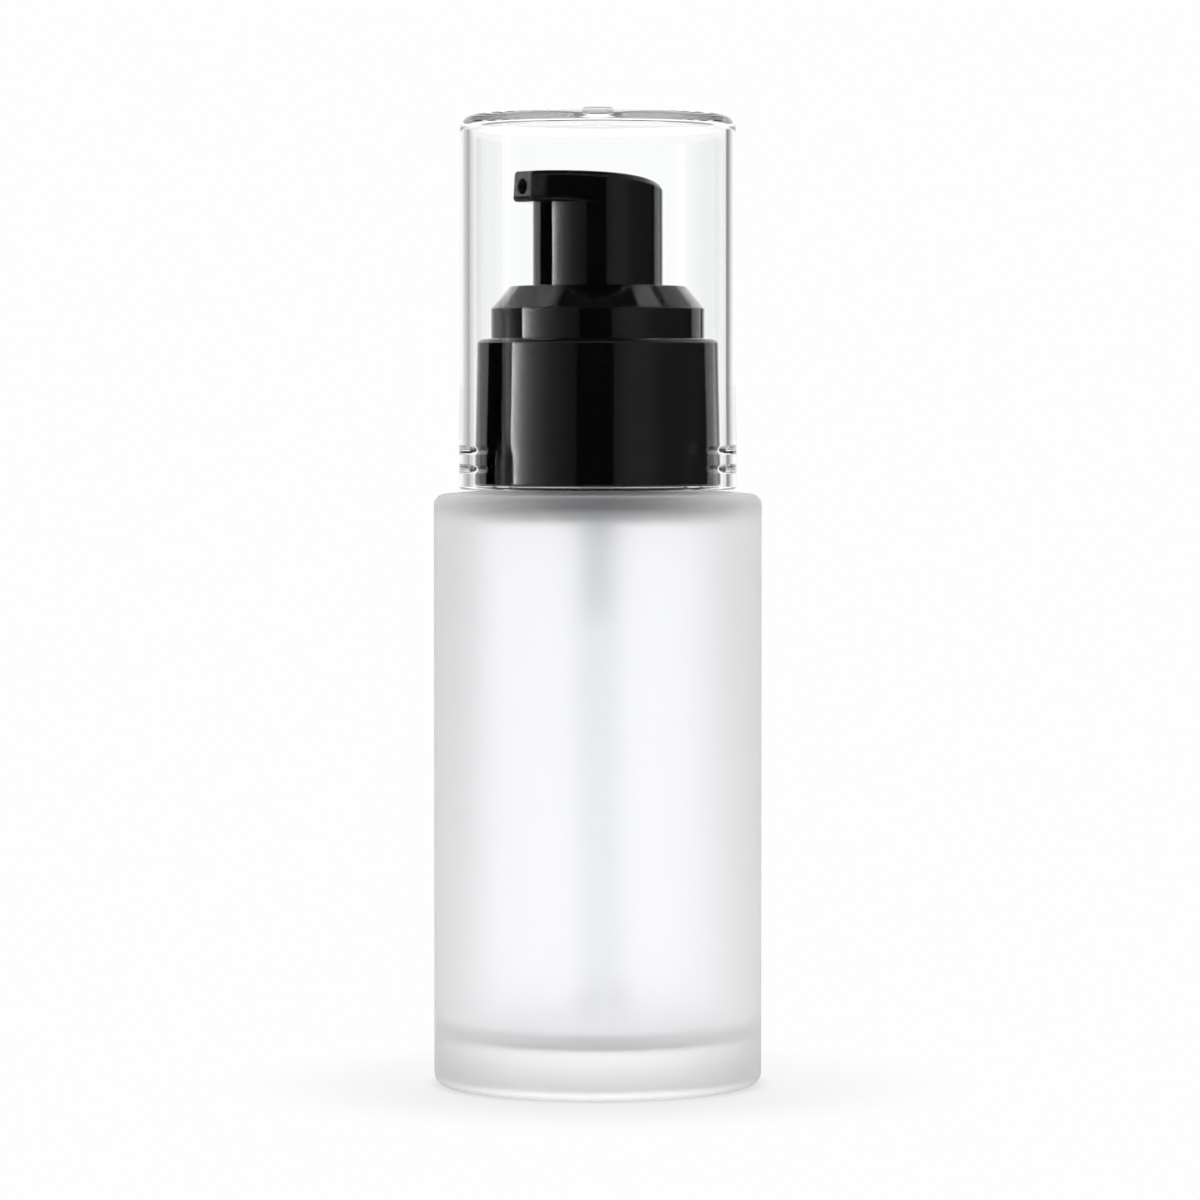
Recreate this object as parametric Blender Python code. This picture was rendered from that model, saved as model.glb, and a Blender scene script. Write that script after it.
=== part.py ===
"""Serum pump bottle: frosted glass, a treatment pump and a clear overcap.

The bottle stands on the world origin with +Z up, and its nozzle points along -Y.
Every piece turns or slides on the Z axis, so every object has its origin on that axis,
at the height of its own lowest named face. All lengths are in metres.
"""

import math

import bmesh
import bpy
from mathutils import Vector

# How fine the solids are
ROUND_SIDES = 48
INNER_SIDES = 24
FACET_SAG = 0.00006
WELD_DISTANCE = 0.0000001

# Clearances that mating pieces share
SEAT_GAP = 0.0003
SLIDE_GAP = 0.0002
LIP_GAP = 0.0001
CUT_OVERRUN = 0.001

# Glass bottle
BOTTLE_RADIUS = 0.0175
BOTTLE_WALL = 0.0026
BASE_THICKNESS = 0.005
CONTACT_WIDTH = 0.003
PUNT_RISE = 0.0009
HEEL_FILLET = 0.0013
FLOOR_FILLET = 0.0022
SHOULDER_HEIGHT = 0.063
SHOULDER_RISE = 0.0006
SHOULDER_FILLET = 0.00125
SHOULDER_WALL = 0.0022
CEILING_FILLET = 0.0024
NECK_RADIUS = 0.0089
NECK_BORE_ROOM = 0.0017
NECK_HEIGHT = 0.012
NECK_FILLET = 0.0006
RIM_FILLET = 0.0004
DOME_SHARES = (0.3, 0.65)
PUNT_SHARES = (0.4, 0.75)

# Liner that seals the pump on the glass rim
GASKET_THICKNESS = 0.0006

# Pump housing
FLANGE_OVERHANG = 0.0004
FLANGE_THICKNESS = 0.0007
BARREL_WALL = 0.00085
BARREL_FLOOR = 0.0009
BARREL_FILLET = 0.0012
NOSE_WALL = 0.0008
NOSE_LENGTH = 0.0035
SPIGOT_WALL = 0.00035
SPIGOT_TAPER = 0.0002
SPIGOT_LENGTH = 0.008
INLET_RADIUS = 0.0007
CAGE_LIP_THICKNESS = 0.0006
CAGE_LIP_OVERLAP = 0.0003
VENT_RADIUS = 0.0004
VENT_DROP = 0.0045

# Check ball, loose in its cage
BALL_RADIUS = 0.0012
BALL_LIFT = 0.0007
BALL_SEAT_GAP = 0.00005

# Dip tube, whose foot is cut on a slant and leans a little to one side
TUBE_WALL = 0.0006
TUBE_FOOT_CLEARANCE = 0.0019
TUBE_CUT_RISE = 0.0035
TUBE_DRIFT = 0.00065
TUBE_DRIFT_DEGREES = 51.4
TUBE_RINGS = 8
TUBE_SIDES = 12

# Travels of the pump
PUMP_STROKE = 0.0045
PISTON_LAG = 0.0008

# Return spring
SPRING_WIRE = 0.00045
SPRING_ROOM = 0.00135
SPRING_PRESSED_HEIGHT = 0.0029
SPRING_TURNS = 5
SPRING_POINTS_PER_TURN = 10

# Valve rod
ROD_HEAD_ROOM = 0.00075
ROD_HEAD_THICKNESS = 0.0007
ROD_PIN_ROOM = 0.000875
ROD_PIN_LENGTH = 0.0014
ROD_CONE_STEP = 0.0004
ROD_CONE_HEIGHT = 0.0009
ROD_SHANK_RADIUS = 0.00115
ROD_SHANK_LENGTH = 0.008
ROD_FLUTE_START = 0.0007
ROD_WEB_THICKNESS = 0.0006

# Piston
PISTON_HEIGHT = 0.0031
PISTON_LIP_DEPTH = 0.001
PISTON_LIP_THICKNESS = 0.0005
PISTON_WAIST_ROOM = 0.00065
PISTON_WEB_THICKNESS = 0.0013
PISTON_TUBE_WALL = 0.0003
PISTON_TUBE_LENGTH = 0.0051
PISTON_HUB_RIM = 0.00015
PISTON_SEAT_DEPTH = 0.0006

# Hollow stem
STEM_WALL = 0.00045
STEM_BORE_ROOM = 0.00035
STEM_FOOT_THICKNESS = 0.00085

# Stem guide that closes the top of the housing
GUIDE_PLUG_WALL = 0.00115
GUIDE_PLUG_LENGTH = 0.0012
GUIDE_FLANGE_RADIUS = 0.0066
GUIDE_FLANGE_THICKNESS = 0.0008
GUIDE_BOSS_WALL = 0.0013
GUIDE_BOSS_HEIGHT = 0.002
GUIDE_FILLET = 0.0002

# Inner screw cap
THREAD_ROOM = 0.00135
CLOSURE_WALL = 0.0012
CLOSURE_PLATE = 0.0009
CLOSURE_STAND = 0.0024
CLOSURE_FILLET = 0.0004
KNURL_DEPTH = 0.00025
KNURL_MARGIN = 0.0007

# Outer collar sleeve
SLEEVE_WALL = 0.0011
SLEEVE_DRAFT = 0.0003
SLEEVE_TOP_FILLET = 0.0005
SLEEVE_FOOT_FILLET = 0.00025
SLEEVE_STAND = 0.0004
SLEEVE_OVER_PLATE = 0.0009

# Upper ring of the collar
RING_SIDE_GAP = 0.00035
RING_CHAMFER_HEIGHT = 0.00237
RING_TOP_WIDTH = 0.00144
RING_WALL = 0.0009
RING_GUIDE_WALL = 0.00075
RING_GUIDE_DEPTH = 0.0027
RING_FILLET = 0.00018

# Actuator
SKIRT_RADIUS = 0.00695
SKIRT_WALL = 0.001
SKIRT_ROOM_WHEN_PRESSED = 0.001
SKIRT_TUCK = 0.001
SKIRT_ROOF = 0.0012
CAVITY_FILLET = 0.0005
NOZZLE_UNDERSIDE = 0.0098
TIP_ROOM = 0.00359
TIP_WIDTH = 0.0031
TIP_HEIGHT = 0.0033
TIP_FILLET = 0.0005
BACK_FILLET = 0.0011
TOP_ARC_RADIUS = 0.057
TOP_ARC_CREST = 0.0075
TANGENT_STEPS = 6
BACK_STEPS = 30
FILLET_STEPS = 3
CROWN_SHARES = (0.66, 0.33)
SOCKET_WALL = 0.0009
SOCKET_GAP = 0.0001
SOCKET_DEPTH = 0.0056
SOCKET_ROOM_WHEN_PRESSED = 0.0011
ORIFICE_RADIUS = 0.00081
RISER_RADIUS = 0.0012

# Clear overcap
OVERCAP_ROOM = 0.00054
OVERCAP_WALL = 0.00103
OVERCAP_HEAD_ROOM = 0.005
OVERCAP_PLATE = 0.0011
OVERCAP_FILLET = 0.00135
OVERCAP_INNER_FILLET = 0.0005
OVERCAP_DISH = 0.00035
OVERCAP_MOUTH_STEP = 0.0001
OVERCAP_MOUTH_HEIGHT = 0.0051
OVERCAP_MOUTH_FILLET = 0.00035
BEAD_GAP = 0.00026
BEAD_WIDTH = 0.0011
LOWER_BEAD_HEIGHT = 0.0022
BEAD_SPACING = 0.002
BEAD_COUNT = 2
NUB_RADIUS = 0.00176
NUB_HEIGHT = 0.00122
NUB_FILLET = 0.00035
RIB_COUNT = 4
RIB_GAP = 0.00022
RIB_WIDTH = 0.0022
RIB_HEIGHT = 0.0048
RIB_START_DEGREES = 6.4

# Radii that follow inside the pump, from the rod outwards
PISTON_TUBE_BORE = ROD_SHANK_RADIUS + SEAT_GAP
PISTON_TUBE_RADIUS = PISTON_TUBE_BORE + PISTON_TUBE_WALL
STEM_COUNTERBORE = PISTON_TUBE_RADIUS + SLIDE_GAP
STEM_BORE = ROD_SHANK_RADIUS + STEM_BORE_ROOM
STEM_RADIUS = STEM_COUNTERBORE + STEM_WALL
GUIDE_BORE = STEM_RADIUS + SLIDE_GAP
BARREL_BORE = GUIDE_BORE + GUIDE_PLUG_WALL + SEAT_GAP
BARREL_RADIUS = BARREL_BORE + BARREL_WALL
ROD_HEAD_RADIUS = BARREL_BORE - ROD_HEAD_ROOM
SPRING_MEAN_RADIUS = BARREL_BORE - SPRING_ROOM
ROD_PIN_RADIUS = SPRING_MEAN_RADIUS - SPRING_WIRE / 2 - ROD_PIN_ROOM
CAGE_RADIUS = BALL_RADIUS + SEAT_GAP
CAGE_LIP_RADIUS = BALL_RADIUS - CAGE_LIP_OVERLAP
NOSE_RADIUS = CAGE_RADIUS + NOSE_WALL
SPIGOT_TIP_RADIUS = INLET_RADIUS + SPIGOT_WALL
SPIGOT_TOP_RADIUS = SPIGOT_TIP_RADIUS + SPIGOT_TAPER
TUBE_BORE = SPIGOT_TOP_RADIUS + SEAT_GAP
TUBE_RADIUS = TUBE_BORE + TUBE_WALL

# Radii that follow outside it, from the neck outwards
BORE_RADIUS = BARREL_RADIUS + NECK_BORE_ROOM
FLANGE_RADIUS = NECK_RADIUS + FLANGE_OVERHANG
CLOSURE_BORE = NECK_RADIUS + THREAD_ROOM
CLOSURE_RADIUS = CLOSURE_BORE + CLOSURE_WALL
SLEEVE_BORE = CLOSURE_RADIUS + SEAT_GAP
SLEEVE_TOP_RADIUS = SLEEVE_BORE + SLEEVE_WALL
SLEEVE_FOOT_RADIUS = SLEEVE_TOP_RADIUS + SLEEVE_DRAFT
RING_RADIUS = SLEEVE_BORE - RING_SIDE_GAP
OVERCAP_BORE = SLEEVE_FOOT_RADIUS + OVERCAP_ROOM
OVERCAP_RADIUS = OVERCAP_BORE + OVERCAP_WALL
TIP_REACH = OVERCAP_BORE - TIP_ROOM

# Heights of the stack, worked out from the glass rim upwards
NECK_ROOT_HEIGHT = SHOULDER_HEIGHT + SHOULDER_RISE
RIM_HEIGHT = NECK_ROOT_HEIGHT + NECK_HEIGHT
GASKET_BOTTOM = RIM_HEIGHT + SEAT_GAP
FLANGE_BOTTOM = GASKET_BOTTOM + GASKET_THICKNESS + SEAT_GAP
FLANGE_TOP = FLANGE_BOTTOM + FLANGE_THICKNESS
PLATE_BOTTOM = FLANGE_TOP + SEAT_GAP
PLATE_TOP = PLATE_BOTTOM + CLOSURE_PLATE
CLOSURE_DEPTH = PLATE_BOTTOM - NECK_ROOT_HEIGHT - CLOSURE_STAND
SLEEVE_BOTTOM = NECK_ROOT_HEIGHT + SLEEVE_STAND
SLEEVE_TOP = PLATE_TOP + SLEEVE_OVER_PLATE
GUIDE_BOSS_TOP = PLATE_BOTTOM + GUIDE_FLANGE_THICKNESS + GUIDE_BOSS_HEIGHT
SKIRT_BOTTOM = PLATE_TOP + PUMP_STROKE + SKIRT_ROOM_WHEN_PRESSED
SOCKET_BOTTOM = GUIDE_BOSS_TOP + PUMP_STROKE + SOCKET_ROOM_WHEN_PRESSED
RING_BOTTOM = PLATE_TOP + SEAT_GAP
RING_HEIGHT = SKIRT_BOTTOM + SKIRT_TUCK - RING_BOTTOM
HEAD_CREST = NOZZLE_UNDERSIDE + TIP_HEIGHT
# The overcap's mouth is level with the neck's root, which clears the domed shoulder under it
OVERCAP_BOTTOM = NECK_ROOT_HEIGHT
OVERCAP_HEIGHT = SKIRT_BOTTOM + HEAD_CREST + OVERCAP_HEAD_ROOM + OVERCAP_PLATE - OVERCAP_BOTTOM

# Heights inside the pump, worked out from the guide's plug down to the foot of the tube
STEM_BOTTOM = PLATE_BOTTOM - GUIDE_PLUG_LENGTH - SEAT_GAP - STEM_FOOT_THICKNESS
PISTON_BOTTOM = STEM_BOTTOM - SLIDE_GAP - PISTON_LAG - PISTON_HEIGHT
ROD_HEAD_BOTTOM = PISTON_BOTTOM - SEAT_GAP - ROD_HEAD_THICKNESS
SPRING_HEIGHT = PUMP_STROKE + SPRING_PRESSED_HEIGHT
SPRING_BOTTOM = ROD_HEAD_BOTTOM - SEAT_GAP - SPRING_HEIGHT
LEDGE_HEIGHT = SPRING_BOTTOM - SEAT_GAP
CAGE_TOP = LEDGE_HEIGHT - CAGE_LIP_THICKNESS
BALL_HEIGHT = CAGE_TOP - LIP_GAP - BALL_LIFT - BALL_RADIUS
NOSE_TOP = LEDGE_HEIGHT - BARREL_FLOOR
NOSE_BOTTOM = NOSE_TOP - NOSE_LENGTH
TUBE_TOP = NOSE_BOTTOM - SEAT_GAP
TUBE_FOOT_HEIGHT = BASE_THICKNESS + TUBE_FOOT_CLEARANCE


def rounded(corners):
    """Put an arc at each corner (across, up, fillet) that has a fillet, and return the points."""
    outline = []
    for index, (across, up, *fillet) in enumerate(corners):
        corner = Vector((across, up))
        if not fillet or not fillet[0]:
            outline.append(corner)
            continue
        radius = fillet[0]
        back = (Vector(corners[index - 1][:2]) - corner).normalized()
        ahead = (Vector(corners[(index + 1) % len(corners)][:2]) - corner).normalized()
        half_angle = back.angle(ahead) / 2
        centre = corner + (back + ahead).normalized() * radius / math.sin(half_angle)
        first = corner + back * radius / math.tan(half_angle) - centre
        last = corner + ahead * radius / math.tan(half_angle) - centre
        sweep = math.atan2(first.cross(last), first.dot(last))
        steps = max(1, math.ceil(abs(sweep) / (2 * math.acos(1 - FACET_SAG / radius))))
        start = math.atan2(first.y, first.x)
        for step in range(steps + 1):
            turn = start + sweep * step / steps
            outline.append(centre + radius * Vector((math.cos(turn), math.sin(turn))))
    return outline


def inner_wall(corners, wall):
    """Carry an open chain of corners inwards by a wall thickness, and return it reversed."""
    chain = [Vector(corner[:2]) for corner in corners]
    carried = []
    for index, corner in enumerate(chain):
        before = chain[max(index - 1, 0)]
        after = chain[min(index + 1, len(chain) - 1)]
        sides = [side.normalized() for side in (corner - before, after - corner) if side.length]
        normals = [Vector((-side.y, side.x)) for side in sides]
        mitre = sum(normals, Vector((0, 0))).normalized()
        carried.append(corner + mitre * wall / mitre.dot(normals[0]))
    return [tuple(point) for point in reversed(carried)]


def finish_mesh(name, mesh, material, sharp_degrees=30):
    """Close up a bmesh, make it an object with smooth round faces, and give it its material."""
    bmesh.ops.remove_doubles(mesh, verts=mesh.verts, dist=WELD_DISTANCE)
    bmesh.ops.recalc_face_normals(mesh, faces=mesh.faces)
    data = bpy.data.meshes.new(name)
    mesh.to_mesh(data)
    mesh.free()
    data.shade_smooth()
    data.set_sharp_from_angle(angle=math.radians(sharp_degrees))
    piece = bpy.data.objects.new(name, data)
    bpy.context.scene.collection.objects.link(piece)
    if material:
        data.materials.append(material)
    return piece


def turned(name, corners, material=None, sides=ROUND_SIDES, arc=math.tau):
    """Turn an outline of (radius, height, fillet) corners about Z, all round or through an arc."""
    outline = rounded(corners)
    on_axis = outline[0].x == 0 and outline[-1].x == 0
    mesh = bmesh.new()
    points = [mesh.verts.new((point.x, 0, point.y)) for point in outline]
    pairs = list(zip(points, points[1:] + points[:1]))
    edges = [mesh.edges.new(pair) for pair in (pairs[:-1] if on_axis else pairs)]
    whole = arc == math.tau
    if not whole:
        mesh.faces.new(points)
    geometry = list(mesh.verts) + list(mesh.edges) + list(mesh.faces)
    bmesh.ops.spin(mesh, geom=geometry, cent=(0, 0, 0), axis=(0, 0, 1), angle=arc,
                   steps=sides, use_merge=whole, use_duplicate=False)
    return finish_mesh(name, mesh, material)


def lofted(name, rings, material=None, ring_shaped=False):
    """Bridge rings of points into one skin, whose ends are joined to each other or capped."""
    mesh = bmesh.new()
    loops = [[mesh.verts.new(point) for point in ring] for ring in rings]
    joins = list(zip(loops, loops[1:]))
    if ring_shaped:
        joins.append((loops[-1], loops[0]))
    for low, high in joins:
        for index in range(len(low)):
            after = (index + 1) % len(low)
            mesh.faces.new((low[index], low[after], high[after], high[index]))
    if not ring_shaped:
        mesh.faces.new(loops[0])
        mesh.faces.new(loops[-1])
    return finish_mesh(name, mesh, material)


def place(piece, height, parent=None):
    """Stand a piece at a height above the table, carried by its parent."""
    carried_height = parent["height"] if parent else 0
    piece["height"] = height
    piece.location = (0, 0, height - carried_height)
    piece.parent = parent
    return piece


def combine(piece, tool, operation):
    """Cut a tool out of a piece, or join it on, and keep the tool as a hidden guide."""
    tool.hide_render = True
    tool.display_type = 'WIRE'
    tool.parent = piece
    modifier = piece.modifiers.new(tool.name, 'BOOLEAN')
    modifier.operation = operation
    modifier.solver = 'EXACT'
    modifier.object = tool


def finish(name, color, roughness, metallic=0, transmission=0, ior=1.5):
    """Make a material of one plain colour, for the solids alone."""
    material = bpy.data.materials.new(name)
    material.use_nodes = True
    shader = material.node_tree.nodes["Principled BSDF"]
    shader.inputs["Base Color"].default_value = (*color, 1)
    shader.inputs["Roughness"].default_value = roughness
    shader.inputs["Metallic"].default_value = metallic
    shader.inputs["Transmission Weight"].default_value = transmission
    shader.inputs["IOR"].default_value = ior
    material.diffuse_color = (*color, 1)
    return material


def make_bottle(material):
    """Blow the glass: a straight body on a thick base, a low domed shoulder and a plain neck."""
    inner_radius = BOTTLE_RADIUS - BOTTLE_WALL
    ceiling = SHOULDER_HEIGHT - SHOULDER_WALL
    rim_fillet = min(RIM_FILLET, (NECK_RADIUS - BORE_RADIUS) / 3)
    punt_radius = BOTTLE_RADIUS - HEEL_FILLET - CONTACT_WIDTH
    punt = [(share * punt_radius, PUNT_RISE * (1 - share ** 2)) for share in (0, *PUNT_SHARES, 1)]
    shoulder_width = BOTTLE_RADIUS - NECK_RADIUS
    dome = [(BOTTLE_RADIUS - share * shoulder_width,
             SHOULDER_HEIGHT + SHOULDER_RISE * math.sin(share * math.pi / 2)) for share in DOME_SHARES]
    corners = [
        *punt,
        (BOTTLE_RADIUS, 0, HEEL_FILLET),
        (BOTTLE_RADIUS, SHOULDER_HEIGHT, SHOULDER_FILLET),
        *dome,
        (NECK_RADIUS, NECK_ROOT_HEIGHT, NECK_FILLET),
        (NECK_RADIUS, RIM_HEIGHT, rim_fillet),
        (BORE_RADIUS, RIM_HEIGHT, rim_fillet),
        (BORE_RADIUS, ceiling + SHOULDER_RISE, NECK_FILLET),
        (inner_radius, ceiling, CEILING_FILLET),
        (inner_radius, BASE_THICKNESS, FLOOR_FILLET),
        (0, BASE_THICKNESS),
    ]
    return place(turned("bottle", corners, material), 0)


def make_gasket(material, parent):
    """Cut the flat liner that lies between the glass rim and the pump's flange."""
    hole = BARREL_RADIUS + SEAT_GAP
    corners = [(hole, 0), (FLANGE_RADIUS, 0),
               (FLANGE_RADIUS, GASKET_THICKNESS), (hole, GASKET_THICKNESS)]
    return place(turned("gasket", corners, material, INNER_SIDES), GASKET_BOTTOM, parent)


def make_housing(material, parent):
    """Mould the pump chamber: flange, barrel, ball cage, seat cone and the spigot for the tube."""
    ledge = LEDGE_HEIGHT - FLANGE_BOTTOM
    cage_top = CAGE_TOP - FLANGE_BOTTOM
    ball_centre = BALL_HEIGHT - FLANGE_BOTTOM
    # The seat is a 45 degree cone that the ball meets all but its seat gap
    cone_point = ball_centre - (BALL_RADIUS + BALL_SEAT_GAP) * math.sqrt(2)
    nose_top = NOSE_TOP - FLANGE_BOTTOM
    nose_bottom = NOSE_BOTTOM - FLANGE_BOTTOM
    spigot_tip = nose_bottom - SPIGOT_LENGTH
    corners = [
        (FLANGE_RADIUS, 0),
        (FLANGE_RADIUS, FLANGE_THICKNESS),
        (BARREL_BORE, FLANGE_THICKNESS),
        (BARREL_BORE, ledge),
        (CAGE_LIP_RADIUS, ledge),
        (CAGE_LIP_RADIUS, cage_top),
        (CAGE_RADIUS, cage_top),
        (CAGE_RADIUS, cone_point + CAGE_RADIUS),
        (INLET_RADIUS, cone_point + INLET_RADIUS),
        (INLET_RADIUS, spigot_tip),
        (SPIGOT_TIP_RADIUS, spigot_tip),
        (SPIGOT_TOP_RADIUS, nose_bottom),
        (NOSE_RADIUS, nose_bottom),
        (NOSE_RADIUS, nose_top),
        (BARREL_RADIUS, nose_top, BARREL_FILLET),
        (BARREL_RADIUS, 0),
    ]
    housing = place(turned("housing", corners, material, INNER_SIDES), FLANGE_BOTTOM, parent)
    drill = bpy.data.meshes.new("vent_drill")
    shape = bmesh.new()
    bmesh.ops.create_cone(shape, cap_ends=True, segments=INNER_SIDES // 2, radius1=VENT_RADIUS,
                          radius2=VENT_RADIUS, depth=BARREL_RADIUS - BARREL_BORE + CUT_OVERRUN)
    shape.to_mesh(drill)
    shape.free()
    vent = bpy.data.objects.new("vent_drill", drill)
    bpy.context.scene.collection.objects.link(vent)
    vent.rotation_euler = (0, math.pi / 2, 0)
    vent.location = ((BARREL_RADIUS + BARREL_BORE) / 2, 0, -VENT_DROP)
    combine(housing, vent, 'DIFFERENCE')
    return housing


def make_inlet_ball(material, parent):
    """Make the loose check ball that rests on the seat cone."""
    mesh = bmesh.new()
    bmesh.ops.create_uvsphere(mesh, u_segments=INNER_SIDES // 2, v_segments=INNER_SIDES // 4,
                              radius=BALL_RADIUS)
    return place(finish_mesh("inlet_ball", mesh, material), BALL_HEIGHT, parent)


def make_dip_tube(material, parent):
    """Draw the tube from its slanted foot up round the spigot, with the set a coiled tube keeps."""
    drift = math.radians(TUBE_DRIFT_DEGREES)
    lean = Vector((math.cos(drift), math.sin(drift)))
    length = TUBE_TOP - TUBE_FOOT_HEIGHT
    bend_length = length - SPIGOT_LENGTH

    def ring(radius, height):
        """One round section, moved along the lean by the square of its distance down the bend."""
        share = max(0, (bend_length - height) / bend_length)
        centre = lean * TUBE_DRIFT * share ** 2
        points = []
        for step in range(TUBE_SIDES):
            turn = math.tau * step / TUBE_SIDES
            across = radius * Vector((math.cos(turn), math.sin(turn)))
            lift = TUBE_CUT_RISE * (0.5 + across.cross(lean) / (2 * TUBE_RADIUS)) if height == 0 else 0
            points.append((*(centre + across), height + lift))
        return points

    first = TUBE_CUT_RISE + SEAT_GAP
    heights = [0] + [first + (length - first) * step / TUBE_RINGS for step in range(TUBE_RINGS + 1)]
    outside = [ring(TUBE_RADIUS, height) for height in heights]
    inside = [ring(TUBE_BORE, height) for height in reversed(heights)]
    tube = lofted("dip_tube", outside + inside, material, ring_shaped=True)
    return place(tube, TUBE_FOOT_HEIGHT, parent)


def spring_points():
    """Points of the wire's centre line: a straight end, the turns, and a straight end."""
    count = SPRING_TURNS * SPRING_POINTS_PER_TURN
    rise = SPRING_HEIGHT - SPRING_WIRE
    coil = []
    for step in range(count + 1):
        turn = math.tau * step / SPRING_POINTS_PER_TURN
        coil.append(Vector((SPRING_MEAN_RADIUS * math.cos(turn), SPRING_MEAN_RADIUS * math.sin(turn),
                            SPRING_WIRE / 2 + rise * step / count)))
    lead_in = coil[0] - Vector((0, SPRING_WIRE, 0))
    lead_out = coil[-1] + Vector((0, SPRING_WIRE, 0))
    return [lead_in, *coil, lead_out]


def least_spring_gap(points):
    """Least distance between the wire's surfaces, taken between points half a turn or more apart."""
    far = SPRING_POINTS_PER_TURN // 2
    gaps = [(one - other).length for index, one in enumerate(points) for other in points[index + far:]]
    return min(gaps) - SPRING_WIRE


def make_spring(material, parent):
    """Wind the return spring as one unbroken wire."""
    points = spring_points()
    curve = bpy.data.curves.new("spring", 'CURVE')
    curve.dimensions = '3D'
    curve.bevel_depth = SPRING_WIRE / 2
    curve.bevel_resolution = 1
    curve.use_fill_caps = True
    wire = curve.splines.new('POLY')
    wire.points.add(len(points) - 1)
    for node, point in zip(wire.points, points):
        node.co = (*point, 1)
    curve.materials.append(material)
    spring = bpy.data.objects.new("spring", curve)
    bpy.context.scene.collection.objects.link(spring)
    print(f"spring: least gap to itself {least_spring_gap(points) * 1000:.2f} mm")
    return place(spring, SPRING_BOTTOM, parent)


def make_valve_rod(material, parent):
    """Make the rod that closes the piston from below, with flutes for the product to pass."""
    cone_top = ROD_HEAD_THICKNESS + ROD_CONE_HEIGHT
    tip = cone_top + ROD_SHANK_LENGTH
    corners = [
        (0, -ROD_PIN_LENGTH),
        (ROD_PIN_RADIUS, -ROD_PIN_LENGTH, ROD_PIN_RADIUS / 2),
        (ROD_PIN_RADIUS, 0),
        (ROD_HEAD_RADIUS, 0),
        (ROD_HEAD_RADIUS, ROD_HEAD_THICKNESS),
        (ROD_SHANK_RADIUS + ROD_CONE_STEP, ROD_HEAD_THICKNESS),
        (ROD_SHANK_RADIUS, cone_top),
        (ROD_SHANK_RADIUS, tip),
        (0, tip),
    ]
    rod = place(turned("valve_rod", corners, material, INNER_SIDES), ROD_HEAD_BOTTOM, parent)
    # Four flutes leave a cross, two webs thick at the middle
    reach = ROD_SHANK_RADIUS + CUT_OVERRUN
    near = ROD_WEB_THICKNESS / 2
    mesh = bmesh.new()
    for across, along in ((1, 1), (-1, 1), (-1, -1), (1, -1)):
        block = [(across * x, along * y, z) for x, y in ((near, near), (reach, near), (reach, reach),
                 (near, reach)) for z in (cone_top + ROD_FLUTE_START, tip + CUT_OVERRUN)]
        verts = [mesh.verts.new(point) for point in block]
        bmesh.ops.convex_hull(mesh, input=verts)
    combine(rod, finish_mesh("flute_cutter", mesh, None), 'DIFFERENCE')
    return rod


def make_piston(material, parent):
    """Mould the sliding piston: two wiping lips, a waist and a tube that telescopes in the stem."""
    lip = BARREL_BORE - LIP_GAP
    inner_lip = lip - PISTON_LIP_THICKNESS
    web_low = (PISTON_HEIGHT - PISTON_WEB_THICKNESS) / 2
    web_high = web_low + PISTON_WEB_THICKNESS
    waist = BARREL_BORE - PISTON_WAIST_ROOM
    web_edge = waist - PISTON_LIP_THICKNESS
    seat_edge = PISTON_TUBE_BORE + PISTON_SEAT_DEPTH
    hub = seat_edge + PISTON_HUB_RIM
    corners = [
        (PISTON_TUBE_BORE, PISTON_SEAT_DEPTH),
        (PISTON_TUBE_BORE, PISTON_TUBE_LENGTH),
        (PISTON_TUBE_RADIUS, PISTON_TUBE_LENGTH),
        (PISTON_TUBE_RADIUS, web_high),
        (web_edge, web_high),
        (inner_lip, PISTON_HEIGHT),
        (lip, PISTON_HEIGHT),
        (waist, PISTON_HEIGHT - PISTON_LIP_DEPTH),
        (waist, PISTON_LIP_DEPTH),
        (lip, 0),
        (inner_lip, 0),
        (web_edge, web_low),
        (hub, web_low),
        (hub, 0),
        (seat_edge, 0),
    ]
    return place(turned("piston", corners, material, INNER_SIDES), PISTON_BOTTOM, parent)


def make_stem(material, parent):
    """Make the hollow stem, with a foot that stops under the guide and a bore for the piston."""
    counterbore_depth = PISTON_BOTTOM + PISTON_TUBE_LENGTH + PISTON_LAG + SEAT_GAP - STEM_BOTTOM
    length = SOCKET_BOTTOM + SOCKET_DEPTH - SEAT_GAP - STEM_BOTTOM
    corners = [
        (STEM_COUNTERBORE, 0),
        (ROD_HEAD_RADIUS, 0),
        (ROD_HEAD_RADIUS, STEM_FOOT_THICKNESS),
        (STEM_RADIUS, STEM_FOOT_THICKNESS),
        (STEM_RADIUS, length),
        (STEM_BORE, length),
        (STEM_BORE, counterbore_depth),
        (STEM_COUNTERBORE, counterbore_depth),
    ]
    return place(turned("stem", corners, material, INNER_SIDES), STEM_BOTTOM, parent)


def make_stem_guide(material, parent):
    """Make the plug that closes the barrel and guides the stem."""
    boss = GUIDE_BORE + GUIDE_BOSS_WALL
    boss_top = GUIDE_FLANGE_THICKNESS + GUIDE_BOSS_HEIGHT
    corners = [
        (GUIDE_BORE, -GUIDE_PLUG_LENGTH),
        (GUIDE_BORE + GUIDE_PLUG_WALL, -GUIDE_PLUG_LENGTH),
        (GUIDE_BORE + GUIDE_PLUG_WALL, 0),
        (GUIDE_FLANGE_RADIUS, 0),
        (GUIDE_FLANGE_RADIUS, GUIDE_FLANGE_THICKNESS, GUIDE_FILLET),
        (boss, GUIDE_FLANGE_THICKNESS, GUIDE_FILLET),
        (boss, boss_top, GUIDE_FILLET),
        (GUIDE_BORE, boss_top),
    ]
    return place(turned("stem_guide", corners, material, INNER_SIDES), PLATE_BOTTOM, parent)


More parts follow.
